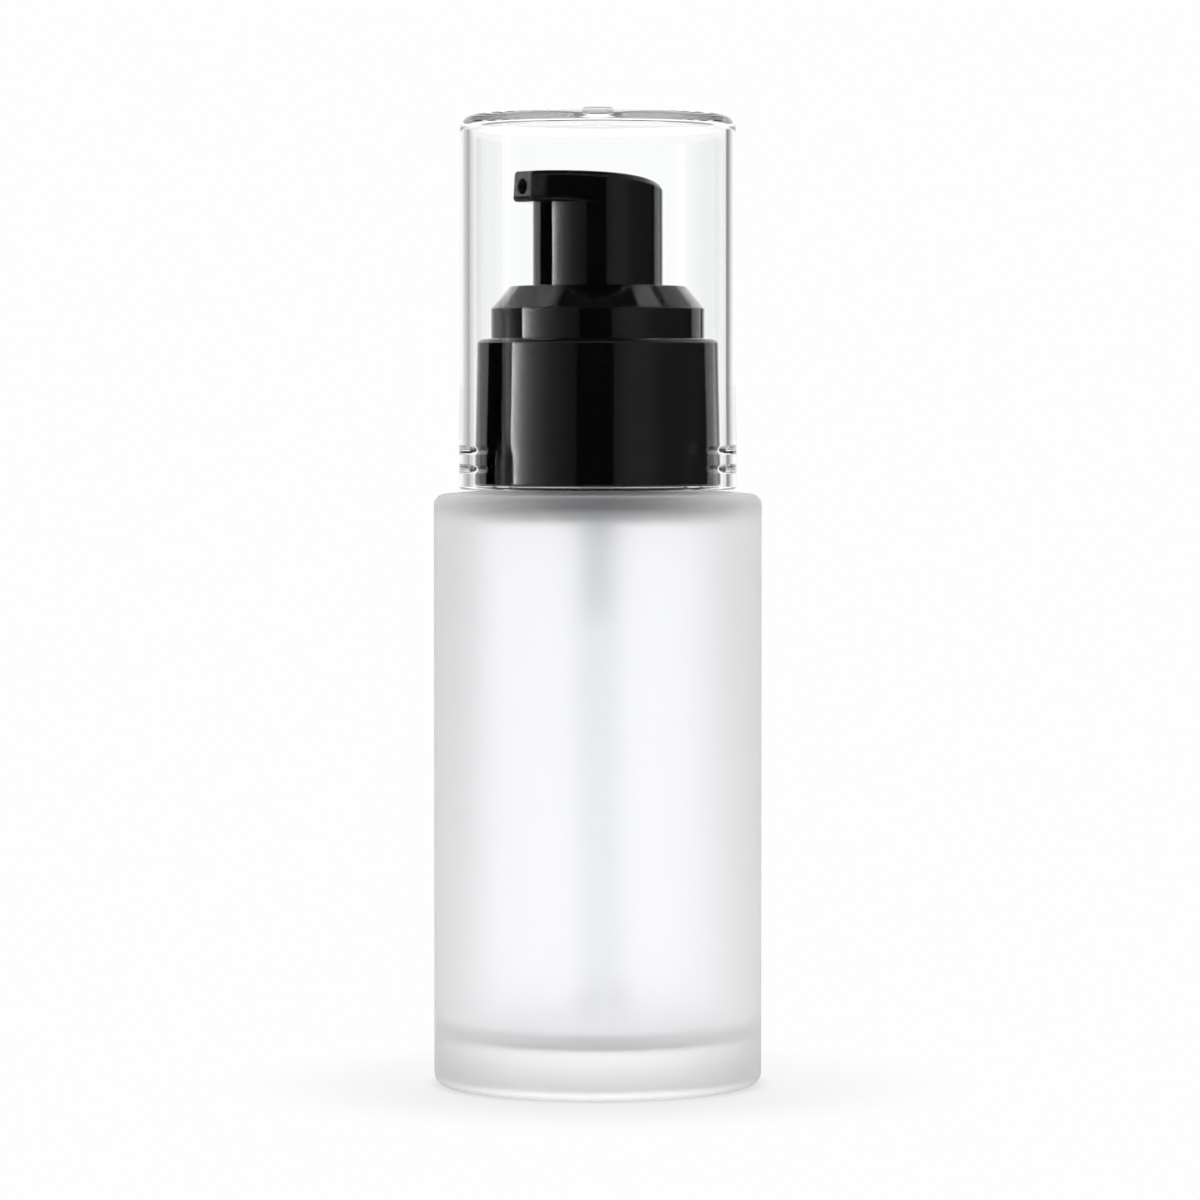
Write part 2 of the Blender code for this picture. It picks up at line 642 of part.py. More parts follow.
def make_closure(material, parent):
    """Make the inner screw cap, with a knurled wall that the sleeve grips."""
    root = CLOSURE_RADIUS - KNURL_DEPTH
    corners = [
        (root, -CLOSURE_DEPTH),
        (CLOSURE_RADIUS, KNURL_MARGIN - CLOSURE_DEPTH),
        (CLOSURE_RADIUS, -KNURL_MARGIN),
        (root, 0),
        (root, CLOSURE_PLATE, CLOSURE_FILLET),
        (GUIDE_FLANGE_RADIUS + SEAT_GAP, CLOSURE_PLATE),
        (GUIDE_FLANGE_RADIUS + SEAT_GAP, 0),
        (CLOSURE_BORE, 0),
        (CLOSURE_BORE, -CLOSURE_DEPTH),
    ]
    closure = turned("closure", corners, material)
    # Every second line of the knurled wall is drawn back to the root
    for vertex in closure.data.vertices:
        radius = vertex.co.xy.length
        line = round(math.atan2(vertex.co.y, vertex.co.x) * ROUND_SIDES / math.tau)
        if radius > CLOSURE_RADIUS - KNURL_DEPTH / 2 and line % 2:
            vertex.co.xy *= root / radius
    return place(closure, PLATE_BOTTOM, parent)


def make_collar_sleeve(material, parent):
    """Make the glossy outer sleeve, a little wider at its foot."""
    height = SLEEVE_TOP - SLEEVE_BOTTOM
    corners = [
        (SLEEVE_FOOT_RADIUS, 0, SLEEVE_FOOT_FILLET),
        (SLEEVE_TOP_RADIUS, height, SLEEVE_TOP_FILLET),
        (SLEEVE_BORE, height, SLEEVE_FOOT_FILLET),
        (SLEEVE_BORE, 0, SLEEVE_FOOT_FILLET),
    ]
    return place(turned("collar_sleeve", corners, material), SLEEVE_BOTTOM, parent)


def make_collar_ring(material, parent):
    """Make the chamfered ring round the actuator, a thin shell with a guide tube inside."""
    opening = SKIRT_RADIUS + SEAT_GAP
    guide = opening + RING_GUIDE_WALL
    outside = [(RING_RADIUS, 0), (RING_RADIUS, RING_HEIGHT - RING_CHAMFER_HEIGHT),
               (guide + RING_TOP_WIDTH, RING_HEIGHT), (guide, RING_HEIGHT)]
    inside = inner_wall(outside, RING_WALL)
    filleted = [(*corner, RING_FILLET) for corner in outside[1:3]]
    corners = [
        outside[0],
        *filleted,
        (opening, RING_HEIGHT, RING_FILLET),
        (opening, RING_HEIGHT - RING_GUIDE_DEPTH),
        (guide, RING_HEIGHT - RING_GUIDE_DEPTH),
        *inside,
    ]
    return place(turned("collar_ring", corners, material), RING_BOTTOM, parent)


def head_outline():
    """Plan of the head as (across, forward) points: a round button drawn out to a nozzle tip.

    The nozzle's sides are the two tangents from the tip's corners to the round button, so that
    button radius = half width * sin(angle) + reach * cos(angle) at the point where they touch.
    """
    half_width = TIP_WIDTH / 2
    corner_angle = math.atan2(half_width, TIP_REACH)
    touch_angle = corner_angle + math.acos(SKIRT_RADIUS / math.hypot(TIP_REACH, half_width))
    side = []
    for step in range(1, TANGENT_STEPS):
        angle = corner_angle + (touch_angle - corner_angle) * step / TANGENT_STEPS
        reach = SKIRT_RADIUS / math.cos(touch_angle - angle)
        side.append((reach * math.sin(angle), reach * math.cos(angle)))
    button = []
    for step in range(BACK_STEPS + 1):
        angle = touch_angle + (math.tau - 2 * touch_angle) * step / BACK_STEPS
        button.append((SKIRT_RADIUS * math.sin(angle), SKIRT_RADIUS * math.cos(angle)))
    other_side = [(-across, forward) for across, forward in reversed(side)]
    corners = [(0, TIP_REACH), (half_width, TIP_REACH, TIP_FILLET), *side, *button,
               *other_side, (-half_width, TIP_REACH, TIP_FILLET)]
    return rounded(corners)


def head_top(forward):
    """Height of the head's top above the skirt's foot: a long arc whose crest is near the tip."""
    return HEAD_CREST - (forward - TOP_ARC_CREST) ** 2 / (2 * TOP_ARC_RADIUS)


def head_rings():
    """Rings of the actuator's outside, from the skirt's foot up over the crown."""
    plan = head_outline()
    count = len(plan)
    foot, waist, underside, sides, rings = [], [], [], [], []
    fillets, inwards = [], []
    for index, point in enumerate(plan):
        along = plan[(index + 1) % count] - plan[index - 1]
        inwards.append(Vector((along.y, -along.x)).normalized())
        behind = min(1, max(0, 0.5 - point.y / (2 * SKIRT_RADIUS)))
        fillets.append(TIP_FILLET + (BACK_FILLET - TIP_FILLET) * behind)
        on_circle = point.normalized() * SKIRT_RADIUS
        level = min(NOZZLE_UNDERSIDE, head_top(point.y) - fillets[-1])
        overhang = min(TIP_FILLET, (point.length - SKIRT_RADIUS) / 2)
        foot.append((on_circle, 0))
        waist.append((on_circle, level))
        underside.append((point + inwards[-1] * overhang, level))
        sides.append((point, level + overhang))
    for step in range(FILLET_STEPS + 1):
        turn = math.pi / 2 * step / FILLET_STEPS
        ring = []
        for point, fillet, inward in zip(plan, fillets, inwards):
            moved = point + inward * fillet * (1 - math.cos(turn))
            ring.append((moved, head_top(moved.y) - fillet * (1 - math.sin(turn))))
        rings.append(ring)
    edge = rings[-1]
    for share in CROWN_SHARES:
        rings.append([(point * share, head_top(point.y * share)) for point, height in edge])
    flat_rings = [foot, waist, underside, sides, *rings]
    return [[(point.x, -point.y, height) for point, height in ring] for ring in flat_rings]


def make_actuator(material, parent):
    """Mould the push button and nozzle in one, with its stem socket, riser and outlet."""
    actuator = lofted("actuator", head_rings(), material)
    socket = STEM_RADIUS + SOCKET_GAP
    outlet = (NOZZLE_UNDERSIDE + head_top(TIP_REACH)) / 2
    cavity_top = NOZZLE_UNDERSIDE - SKIRT_ROOF
    socket_bottom = SOCKET_BOTTOM - SKIRT_BOTTOM
    socket_top = socket_bottom + SOCKET_DEPTH
    hollow = turned("actuator_hollow", [
        (0, -CUT_OVERRUN),
        (SKIRT_RADIUS - SKIRT_WALL, -CUT_OVERRUN),
        (SKIRT_RADIUS - SKIRT_WALL, cavity_top, CAVITY_FILLET),
        (socket + SOCKET_WALL, cavity_top, CAVITY_FILLET),
        (socket + SOCKET_WALL, socket_bottom),
        (socket, socket_bottom),
        (socket, socket_top),
        (RISER_RADIUS, socket_top),
        (RISER_RADIUS, outlet + ORIFICE_RADIUS / 2),
        (0, outlet + ORIFICE_RADIUS / 2),
    ], sides=INNER_SIDES)
    combine(actuator, hollow, 'DIFFERENCE')
    mesh = bmesh.new()
    bmesh.ops.create_cone(mesh, cap_ends=True, segments=INNER_SIDES // 2, radius1=ORIFICE_RADIUS,
                          radius2=ORIFICE_RADIUS, depth=TIP_REACH + CUT_OVERRUN)
    drill = finish_mesh("outlet_drill", mesh, None)
    drill.rotation_euler = (math.pi / 2, 0, 0)
    drill.location = (0, -(TIP_REACH + CUT_OVERRUN) / 2, outlet)
    combine(actuator, drill, 'DIFFERENCE')
    return place(actuator, SKIRT_BOTTOM, parent)


def make_overcap(material, parent):
    """Mould the clear overcap: dished top, gate nub, snap beads and centring ribs at its mouth."""
    inner = OVERCAP_BORE
    mouth = OVERCAP_RADIUS + OVERCAP_MOUTH_STEP
    ceiling = OVERCAP_HEIGHT - OVERCAP_PLATE
    dish = OVERCAP_HEIGHT - OVERCAP_DISH
    nub_top = dish + NUB_HEIGHT
    bead = SLEEVE_FOOT_RADIUS + BEAD_GAP
    beads = []
    for index in reversed(range(BEAD_COUNT)):
        height = LOWER_BEAD_HEIGHT + index * BEAD_SPACING
        beads += [(inner, height + BEAD_WIDTH / 2), (bead, height + BEAD_WIDTH / 4),
                  (bead, height - BEAD_WIDTH / 4), (inner, height - BEAD_WIDTH / 2)]
    corners = [
        (0, ceiling),
        (inner, ceiling, OVERCAP_INNER_FILLET),
        *beads,
        (inner, 0, OVERCAP_MOUTH_FILLET),
        (mouth, 0, OVERCAP_MOUTH_FILLET),
        (mouth, OVERCAP_MOUTH_HEIGHT),
        (OVERCAP_RADIUS, OVERCAP_MOUTH_HEIGHT + OVERCAP_MOUTH_STEP),
        (OVERCAP_RADIUS, OVERCAP_HEIGHT, OVERCAP_FILLET),
        (OVERCAP_RADIUS - 2 * OVERCAP_FILLET, OVERCAP_HEIGHT),
        (NUB_RADIUS, dish),
        (NUB_RADIUS, nub_top, NUB_FILLET),
        (0, nub_top),
    ]
    overcap = turned("overcap", corners, material)
    arc = RIB_WIDTH / inner
    rib_face, rib_back = SLEEVE_FOOT_RADIUS + RIB_GAP, inner + OVERCAP_WALL / 2
    rib_corners = [(rib_face, OVERCAP_MOUTH_FILLET), (rib_back, OVERCAP_MOUTH_FILLET),
                   (rib_back, RIB_HEIGHT), (rib_face, RIB_HEIGHT)]
    for index in range(RIB_COUNT):
        rib = turned(f"rib_former_{index + 1}", rib_corners, sides=3, arc=arc)
        rib.rotation_euler.z = math.radians(RIB_START_DEGREES - 90 + index * 360 / RIB_COUNT) - arc / 2
        combine(overcap, rib, 'UNION')
    return place(overcap, OVERCAP_BOTTOM, parent)


def main():
    """Clear the scene and assemble the pump from the glass upwards."""
    for old in list(bpy.data.objects):
        bpy.data.objects.remove(old, do_unlink=True)
    frosted_glass = finish("frosted_glass", (0.92, 0.93, 0.93), 0.45, transmission=1, ior=1.5)
    clear_plastic = finish("clear_plastic", (0.96, 0.97, 0.97), 0.03, transmission=1, ior=1.57)
    black_plastic = finish("black_plastic", (0.008, 0.008, 0.009), 0.08)
    natural_plastic = finish("natural_plastic", (0.82, 0.83, 0.82), 0.35, transmission=0.4)
    white_plastic = finish("white_plastic", (0.88, 0.88, 0.86), 0.5)
    steel = finish("steel", (0.62, 0.62, 0.63), 0.25, metallic=1)

    bottle = make_bottle(frosted_glass)
    housing = make_housing(natural_plastic, bottle)
    make_gasket(white_plastic, housing)
    make_dip_tube(natural_plastic, housing)
    make_spring(steel, housing)
    make_stem_guide(white_plastic, housing)
    make_inlet_ball(steel, housing)
    valve_rod = make_valve_rod(white_plastic, housing)
    make_piston(white_plastic, valve_rod)
    stem = make_stem(white_plastic, valve_rod)
    make_actuator(black_plastic, stem)
    closure = make_closure(black_plastic, housing)
    make_collar_sleeve(black_plastic, closure)
    make_collar_ring(black_plastic, closure)
    make_overcap(clear_plastic, closure)


main()
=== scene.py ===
# %% [markdown]
# A serum pump bottle, seen close: frosted glass, a glossy black pump and a clear overcap. The
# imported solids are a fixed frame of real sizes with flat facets. Each piece is made here again as
# a smooth surface of the same size and place, and given its finish. Everything is in metres.

# %% Load the fixed frame
import math

import bmesh
import bpy
import numpy as np
from mathutils import Matrix, Vector


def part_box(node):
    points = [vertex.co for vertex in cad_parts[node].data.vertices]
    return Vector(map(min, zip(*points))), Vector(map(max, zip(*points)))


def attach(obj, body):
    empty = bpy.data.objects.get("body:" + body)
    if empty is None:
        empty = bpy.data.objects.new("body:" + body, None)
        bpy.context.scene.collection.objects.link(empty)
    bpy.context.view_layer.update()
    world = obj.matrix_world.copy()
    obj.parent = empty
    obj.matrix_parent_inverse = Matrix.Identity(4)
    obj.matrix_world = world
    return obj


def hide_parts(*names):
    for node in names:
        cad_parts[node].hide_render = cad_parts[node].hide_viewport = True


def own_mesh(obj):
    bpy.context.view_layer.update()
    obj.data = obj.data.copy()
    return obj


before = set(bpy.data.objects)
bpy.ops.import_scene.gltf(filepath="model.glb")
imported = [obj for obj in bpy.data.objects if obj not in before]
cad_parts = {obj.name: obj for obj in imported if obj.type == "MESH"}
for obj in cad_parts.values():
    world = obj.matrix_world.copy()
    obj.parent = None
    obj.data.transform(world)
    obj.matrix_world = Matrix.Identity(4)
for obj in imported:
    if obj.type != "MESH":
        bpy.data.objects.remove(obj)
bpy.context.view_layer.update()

MM = 0.001


# %% Read radii and heights from the frame
def reach(node):
    """Outer radius of a turned node, which has a corner on the X axis."""
    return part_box(node)[1].x


def foot(node):
    """Height of a node's lowest point."""
    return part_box(node)[0].z


def head(node):
    """Height of a node's highest point."""
    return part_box(node)[1].z


def extent(node):
    """Foot, head and outer radius of a turned node."""
    return foot(node), head(node), reach(node)


SIDES = 192
FINE_SIDES = 288
ARC_STEP = math.radians(5)
HOLD = 0.12 * MM
LONG_RUN = 5 * HOLD
print("bottle radius in mm:", round(reach("bottle") / MM, 2))

# %% [markdown]
# Almost every piece of a pump is round. Its outline is a short list of corners, each with a
# fillet, as on a turner's drawing. The corners become arcs, and the outline is spun about Z.


# %% Outlines with fillets
def outline(*corners, step=None):
    """Points of an outline of (radius, height, fillet) corners.

    A fillet of radius f in a corner of half angle h touches both sides f / tan(h) from the
    corner, and its centre lies f / sin(h) along the bisector. With a step, long runs are cut
    into equal parts of that length at most, so that a relief can bend them. Without one, a long
    run gets a point close to each end, so that smooth shading keeps its middle flat.
    """
    points = []
    for index, (across, up, *fillet) in enumerate(corners):
        corner = np.array((across, up))
        if not fillet:
            points.append(corner[None])
            continue
        back = np.array(corners[index - 1][:2]) - corner
        ahead = np.array(corners[(index + 1) % len(corners)][:2]) - corner
        back, ahead = back / np.hypot(*back), ahead / np.hypot(*ahead)
        half = math.acos(np.clip(back @ ahead, -1, 1)) / 2
        middle = (back + ahead) / np.hypot(*(back + ahead))
        centre = corner + middle * fillet[0] / math.sin(half)
        first = corner + back * fillet[0] / math.tan(half) - centre
        last = corner + ahead * fillet[0] / math.tan(half) - centre
        sweep = math.atan2(first[0] * last[1] - first[1] * last[0], first @ last)
        turn = math.atan2(first[1], first[0]) + np.linspace(0, sweep, 2 + int(abs(sweep) / ARC_STEP))
        points.append(centre + fillet[0] * np.stack((np.cos(turn), np.sin(turn)), axis=1))
    points = np.concatenate(points)
    gaps = np.hypot(*np.diff(points, axis=0).T)
    if step is None:
        cuts = [np.array((0, HOLD / gap, 1 - HOLD / gap) if gap > LONG_RUN else (0,)) for gap in gaps]
    else:
        cuts = [np.linspace(0, 1, max(1, math.ceil(gap / step)), endpoint=False) for gap in gaps]
    pieces = [a + (b - a) * cut[:, None] for a, b, cut in zip(points, points[1:], cuts)]
    return np.concatenate((*pieces, points[-1:]))


# %% The inner face of a wall
def inset(chain, wall):
    """An open chain moved to its left by a wall, each corner along its mitre.

    With unit normals b before and a after a corner, the corner moves by wall * (b + a) / (1 + b.a).
    """
    chain = np.array(chain, dtype=float)
    sides = np.diff(chain, axis=0)
    sides /= np.hypot(*sides.T)[:, None]
    normals = np.stack((-sides[:, 1], sides[:, 0]), axis=1)
    before, after = np.vstack((normals[:1], normals)), np.vstack((normals, normals[-1:]))
    return chain + wall * (before + after) / (1 + (before * after).sum(axis=1))[:, None]


print("a square corner moved in by 1:", inset([(0, 0), (4, 0), (4, 4)], 1)[1])

# %% [markdown]
# A surface is a grid of points, rows by columns, and neighbours make its quads. Blender could
# spin a curve instead, but on a grid a thread or a rib is one more term in the radius.

# %% Grids of points made into meshes
TINY = 1e-7
made = []


def placed(name, data):
    """A new object of the scene, at the origin."""
    thing = bpy.data.objects.new(name, data)
    bpy.context.scene.collection.objects.link(thing)
    return thing


def finish_piece(name, mesh, material, body, replaced, sharp=35):
    """Make a mesh an object of the scene that rides on a body and stands for its CAD node."""
    piece = placed(name, mesh)
    mesh.shade_smooth()
    mesh.set_sharp_from_angle(angle=math.radians(sharp))
    mesh.materials.append(material)
    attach(piece, body)
    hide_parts(replaced)
    made.append(name)
    print(f"{name}: {len(mesh.polygons)} faces on body {body}")
    return piece


def grid_mesh(name, points, closed=False):
    """Mesh of a (rows, columns, 3) grid that goes round in its columns, and in its rows if closed.

    A row that has shrunk to one point is a pole and keeps one vertex, so the quads beside it
    become triangles.
    """
    rows, columns = points.shape[:2]
    ids = np.arange(rows * columns).reshape(rows, columns)
    pole = np.ptp(points, axis=1).max(axis=1) < TINY
    ids[pole] = ids[pole, :1]
    low, high = (ids, np.roll(ids, -1, axis=0)) if closed else (ids[:-1], ids[1:])
    quads = np.stack((low, np.roll(low, -1, 1), np.roll(high, -1, 1), high), axis=-1).reshape(-1, 4)
    used, faces = np.unique(quads, return_inverse=True)
    faces = faces.reshape(-1, 4)
    low_pole = faces[:, 0] == faces[:, 1]
    high_pole = faces[:, 2] == faces[:, 3]
    whole = faces[~(low_pole | high_pole)]
    mesh = bpy.data.meshes.new(name)
    mesh.from_pydata(points.reshape(-1, 3)[used].tolist(), [], whole.tolist()
                     + faces[low_pole][:, (0, 2, 3)].tolist() + faces[high_pole][:, (0, 1, 2)].tolist())
    return mesh


def drilled(mesh, tool):
    """Cut a closed tool mesh out of a mesh, and return what is left."""
    blank, cutter = placed("blank", mesh), placed("cutter", tool)
    cut = blank.modifiers.new("drill", 'BOOLEAN')
    cut.operation, cut.solver, cut.object = 'DIFFERENCE', 'EXACT', cutter
    left = bpy.data.meshes.new_from_object(blank.evaluated_get(bpy.context.evaluated_depsgraph_get()))
    for each in (blank, cutter):
        bpy.data.objects.remove(each)
    return left


def turned(name, profile, closed=True, relief=None, sides=SIDES):
    """Surface of revolution: (r cos a, r sin a, z), for each point (r, z) of the profile.

    A relief is a function of angle, height and radius that returns the radius to use, for
    threads, knurls, ribs and flutes.
    """
    angle = np.linspace(0, math.tau, sides, endpoint=False)[None]
    radius, height = profile[:, :1], profile[:, 1:]
    if relief:
        radius = relief(angle, height, radius)
    points = np.stack(np.broadcast_arrays(radius * np.cos(angle), radius * np.sin(angle), height), axis=-1)
    return grid_mesh(name, points, closed)


# %% [markdown]
# Shader maths reads best as ordinary sums. A small class wraps a node's output, and each sum or
# product written with it adds one Math node. Any other node comes from a single method.


# %% Shader maths as Python expressions
class Wire:
    """A node's output that can be added, subtracted, multiplied and divided."""

    def __init__(self, recipe, socket):
        self.recipe, self.socket = recipe, socket

    def maths(self, operation, *values):
        return self.recipe.node("ShaderNodeMath", {"operation": operation}, dict(enumerate(values)))

    def __add__(self, other):
        return self.maths('ADD', self, other)

    def __sub__(self, other):
        return self.maths('SUBTRACT', self, other)

    def __rsub__(self, other):
        return self.maths('SUBTRACT', other, self)

    def __mul__(self, other):
        return self.maths('MULTIPLY', self, other)

    def __truediv__(self, other):
        return self.maths('DIVIDE', self, other)

    def power(self, exponent):
        return self.maths('POWER', self, exponent)

    def clipped(self):
        return self.maths('MINIMUM', self.maths('MAXIMUM', self, 0), 1)

    def fade(self, start, end):
        """Smooth step from 0 at start to 1 at end, whichever of the two is larger."""
        low, high = sorted((start, end))
        settings = {"interpolation_type": 'SMOOTHSTEP'}
        flip = (0, 1) if start < end else (1, 0)
        return self.recipe.node("ShaderNodeMapRange", settings,
                                {0: self, 1: low, 2: high, 3: flip[0], 4: flip[1]})

    __radd__ = __add__
    __rmul__ = __mul__


def grey(tone):
    """A colour with three equal parts."""
    return tone, tone, tone, 1


class Recipe:
    """A node tree that is built by calls, for a material or for the world."""

    def __init__(self, owner):
        owner.use_nodes = True
        self.owner, self.tree = owner, owner.node_tree
        self.tree.nodes.clear()

    def node(self, kind, settings=None, sockets=None, output=0):
        """Add a node, set its settings, then its sockets by name or number, and return an output."""
        node = self.tree.nodes.new(kind)
        for name, value in (settings or {}).items():
            if name == "stops":
                ramp = node.color_ramp
                ramp.elements[0].position, ramp.elements[-1].position = value[0][0], value[-1][0]
                for place, tone in value[1:-1]:
                    ramp.elements.new(place)
                for element, (place, tone) in zip(ramp.elements, value):
                    element.color = grey(tone)
            else:
                setattr(node, name, value)
        for name, value in (sockets or {}).items():
            if isinstance(value, Wire):
                self.tree.links.new(value.socket, node.inputs[name])
            else:
                node.inputs[name].default_value = value
        return Wire(self, node.outputs[output]) if node.outputs else None

    def axes(self, vector):
        """The three numbers of a vector."""
        return [self.node("ShaderNodeSeparateXYZ", None, {0: vector}, axis) for axis in range(3)]

    def from_axis(self, place):
        """How far a place is from the Z axis, and how high it is."""
        x, y, z = self.axes(place)
        return (x * x + y * y).power(0.5), z

    def noise(self, place, size, detail=2):
        """Cloudy noise from 0 to 1 whose blotches are about one size across."""
        return self.node("ShaderNodeTexNoise", None, {"Vector": place, "Scale": 1 / size, "Detail": detail})

    def blend(self, share, first, second):
        """A colour that goes from the first to the second with a share from 0 to 1."""
        return self.node("ShaderNodeMix", {"data_type": 'RGBA'}, {0: share, 6: first, 7: second}, 2)

    def bump(self, height, distance):
        """A normal bent by a height from 0 to 1 that stands for a distance."""
        return self.node("ShaderNodeBump", None, {"Height": height, "Distance": distance})

    def ray(self, name):
        """A fact about the ray of light that meets the surface or the world."""
        return self.node("ShaderNodeLightPath", output=name)

    def leaves_cap(self):
        """1 for a ray that comes out of a sharp clear surface, which only the overcap has."""
        return self.ray("Is Singular Ray") * self.ray("Is Transmission Ray")


# %% A Principled finish
def principled(name, recipe_for, **constants):
    """Make a material: recipe_for(recipe, place) returns the linked sockets, the rest stay constants."""
    recipe = Recipe(bpy.data.materials.new(name))
    place = recipe.node("ShaderNodeTexCoord", output="Object")
    sockets = {key.replace("_", " "): value for key, value in constants.items()}
    sockets.update(recipe_for(recipe, place))
    shader = recipe.node("ShaderNodeBsdfPrincipled", None, sockets)
    recipe.node("ShaderNodeOutputMaterial", None, {"Surface": shader})
    print("finish:", name)
    return recipe.owner


# %% [markdown]
# The glass is etched on its outside and fire polished inside. Roughness is what turns clear glass
# to frosted glass, so the finish asks where a point lies: outer wall, shoulder and underside are
# rough, the bore and the inner floor are smooth. A fine grain stands for the etching, and the
# shoulder is etched a little deeper, so that the black collar over it shows as a soft shade.

# %% Frosted glass
FROST = 0.42
SHOULDER_FROST = 0.2
POLISH = 0.03


def etched(recipe, place):
    """Rough where the acid reached: outside the wall, above the ceiling and below the floor."""
    skin, edge, ceiling, below = reach("bottle") - 1.2 * MM, 0.4 * MM, 62.5 * MM, 2.2 * MM
    bore, deepening = (7.2 * MM, 7.8 * MM), (59 * MM, 62.5 * MM)
    grain, spread, pit, pit_depth = 0.35 * MM, 0.08, 0.12 * MM, 0.004 * MM
    radius, z = recipe.from_axis(place)
    outside = radius.fade(skin - edge, skin)
    shoulder = z.fade(ceiling, ceiling + edge) * radius.fade(*bore)
    etch = (outside + shoulder + z.fade(below + edge, below)).clipped()
    frost = FROST + z.fade(*deepening) * SHOULDER_FROST
    return {"Roughness": POLISH + etch * (frost - spread / 2 + recipe.noise(place, grain) * spread),
            "Normal": recipe.bump(recipe.noise(place, pit) * etch, pit_depth)}


frosted_glass = principled("frosted_glass", etched, Base_Color=(0.99, 0.992, 1, 1),
                           Transmission_Weight=1, IOR=1.5)

# %% [markdown]
# The overcap is clear moulded plastic. Nothing is perfectly clean, so a trace of haze and very
# long soft waves keep its highlights from looking drawn with a ruler. The haze stays low enough
# for Blender to count the surface as sharp, which the light of the room asks for further down.

# %% Clear plastic
CAP_COLOUR = 0.965, 0.97, 0.97, 1
CAP_HAZE = 0.0035
GATE_FOOT = head("overcap") - 1.5 * MM


def polished(recipe, place):
    """A trace of haze in blotches, moulding waves, and a rough spot where the gate was torn off, greyed by
    painted shade.
    """
    cloud, wave, wave_depth = 4 * MM, 9 * MM, 0.004 * MM
    edge, rise, tone, roughness = (2.1 * MM, 1.8 * MM), 0.2 * MM, 0.78, 0.1
    radius, z = recipe.from_axis(place)
    rough_shaded_stub = radius.fade(*edge) * z.fade(GATE_FOOT, GATE_FOOT + rise)
    # painted shade: the gate's nub gets a greyer colour; its roughness is the torn gate
    return {"Base Color": recipe.blend(rough_shaded_stub, CAP_COLOUR, grey(tone)),
            "Roughness": recipe.noise(place, cloud) * CAP_HAZE + rough_shaded_stub * roughness,
            "Normal": recipe.bump(recipe.noise(place, wave, 0), wave_depth)}


clear_plastic = principled("clear_plastic", polished, Transmission_Weight=1, IOR=1.5,
                           Specular_Tint=(0.02, 0.02, 0.02, 1))

# %% [markdown]
# The pump's outside is glossy black: almost no colour of its own, so all that shows is what it
# reflects. The roughness varies a little, as fingers and moulds leave it.

# %% Black plastic
BLACK_TONES = grey(0.0022), grey(0.0045)


def glossy(recipe, place):
    """Gloss with faint smears, and flow waves too low to see but in a reflection."""
    smear, flow, flow_depth, speck = 3 * MM, 7 * MM, 0.006 * MM, 0.5 * MM
    roughness, spread = 0.035, 0.05
    return {"Base Color": recipe.blend(recipe.noise(place, speck), *BLACK_TONES),
            "Roughness": roughness + recipe.noise(place, smear, 3) * spread,
            "Normal": recipe.bump(recipe.noise(place, flow, 1), flow_depth)}


black_plastic = principled("black_plastic", glossy, IOR=1.5)

# %% [markdown]
# The chamber and the tube are one milky, natural plastic with cloudy blotches. The chamber is thick, and
# its greyer colour is painted shade under the black collar; the tube under it is thin and paler, so that the
# frosted glass shows only a soft grey line.

# %% Natural, white and metal finishes of the inner pieces
MILK_COLOURS = (0.92, 0.925, 0.93, 1), (0.99, 0.992, 1, 1)
WHITE_COLOURS = (0.80, 0.80, 0.78, 1), (0.86, 0.86, 0.845, 1)
STEEL_COLOURS = (0.55, 0.55, 0.56, 1), (0.68, 0.68, 0.69, 1)


def clouded(recipe, share, colours, roughness, spread):
    """Colour and roughness that both follow a share from 0 to 1."""
    return {"Base Color": recipe.blend(share, *colours), "Roughness": roughness + share * spread}


def milky(recipe, place):
    """Polymer with fine drawing marks and cloudy blotches: a greyer chamber above, painted shade under the
    collar, and a paler tube below.
    """
    cloud, cloud_share, line, line_depth = 2.5 * MM, 0.3, 0.4 * MM, 0.006 * MM
    chamber, tube = 58 * MM, 46 * MM
    height = recipe.axes(place)[2]
    # painted shade: the colour greys towards the top, under the black collar; the noise blotches are real
    # cloud
    clear = recipe.noise(place, cloud) * cloud_share + height.fade(chamber, tube) * (1 - cloud_share)
    return {**clouded(recipe, clear, MILK_COLOURS, roughness=0.1, spread=0.08),
            "Normal": recipe.bump(recipe.noise(place, line), line_depth)}


def moulded(recipe, place):
    """White acetal with a fine matt skin."""
    cloud, skin, skin_depth = 3 * MM, 0.25 * MM, 0.004 * MM
    share = recipe.noise(place, cloud)
    return {**clouded(recipe, share, WHITE_COLOURS, roughness=0.36, spread=0.12),
            "Normal": recipe.bump(recipe.noise(place, skin), skin_depth)}


def drawn_wire(recipe, place):
    """Bright steel with fine drawing lines."""
    line = 0.2 * MM
    return clouded(recipe, recipe.noise(place, line, 4), STEEL_COLOURS, roughness=0.2, spread=0.15)


natural_plastic = principled("natural_plastic", milky, Transmission_Weight=1, IOR=1.5)
white_plastic = principled("white_plastic", moulded, IOR=1.48)
steel = principled("steel", drawn_wire, Metallic=1)

# %% [markdown]
# The bottle is one skin: its outline goes up the outside, over the shoulder and the rim, and down
# inside. The thread of the neck is a relief on that skin, a ridge whose height is a function of
# the distance from a helix.

# %% A screw thread as a relief
PITCH = 3.175 * MM
THREAD_TURNS = 1.5
THREAD_DEPTH = 0.95 * MM
THREAD_START = 68.9 * MM
THREAD_ROW = 0.11 * MM
THREAD_RUN_OUT = 0.6
RIDGE_REACH = 1.0 * MM
RIDGE_FLANK = 0.6 * MM


def smooth(share):
    """Smooth step of a share, 3 s^2 - 2 s^3, held between 0 and 1."""
    share = np.clip(share, 0, 1)
    return share * share * (3 - 2 * share)


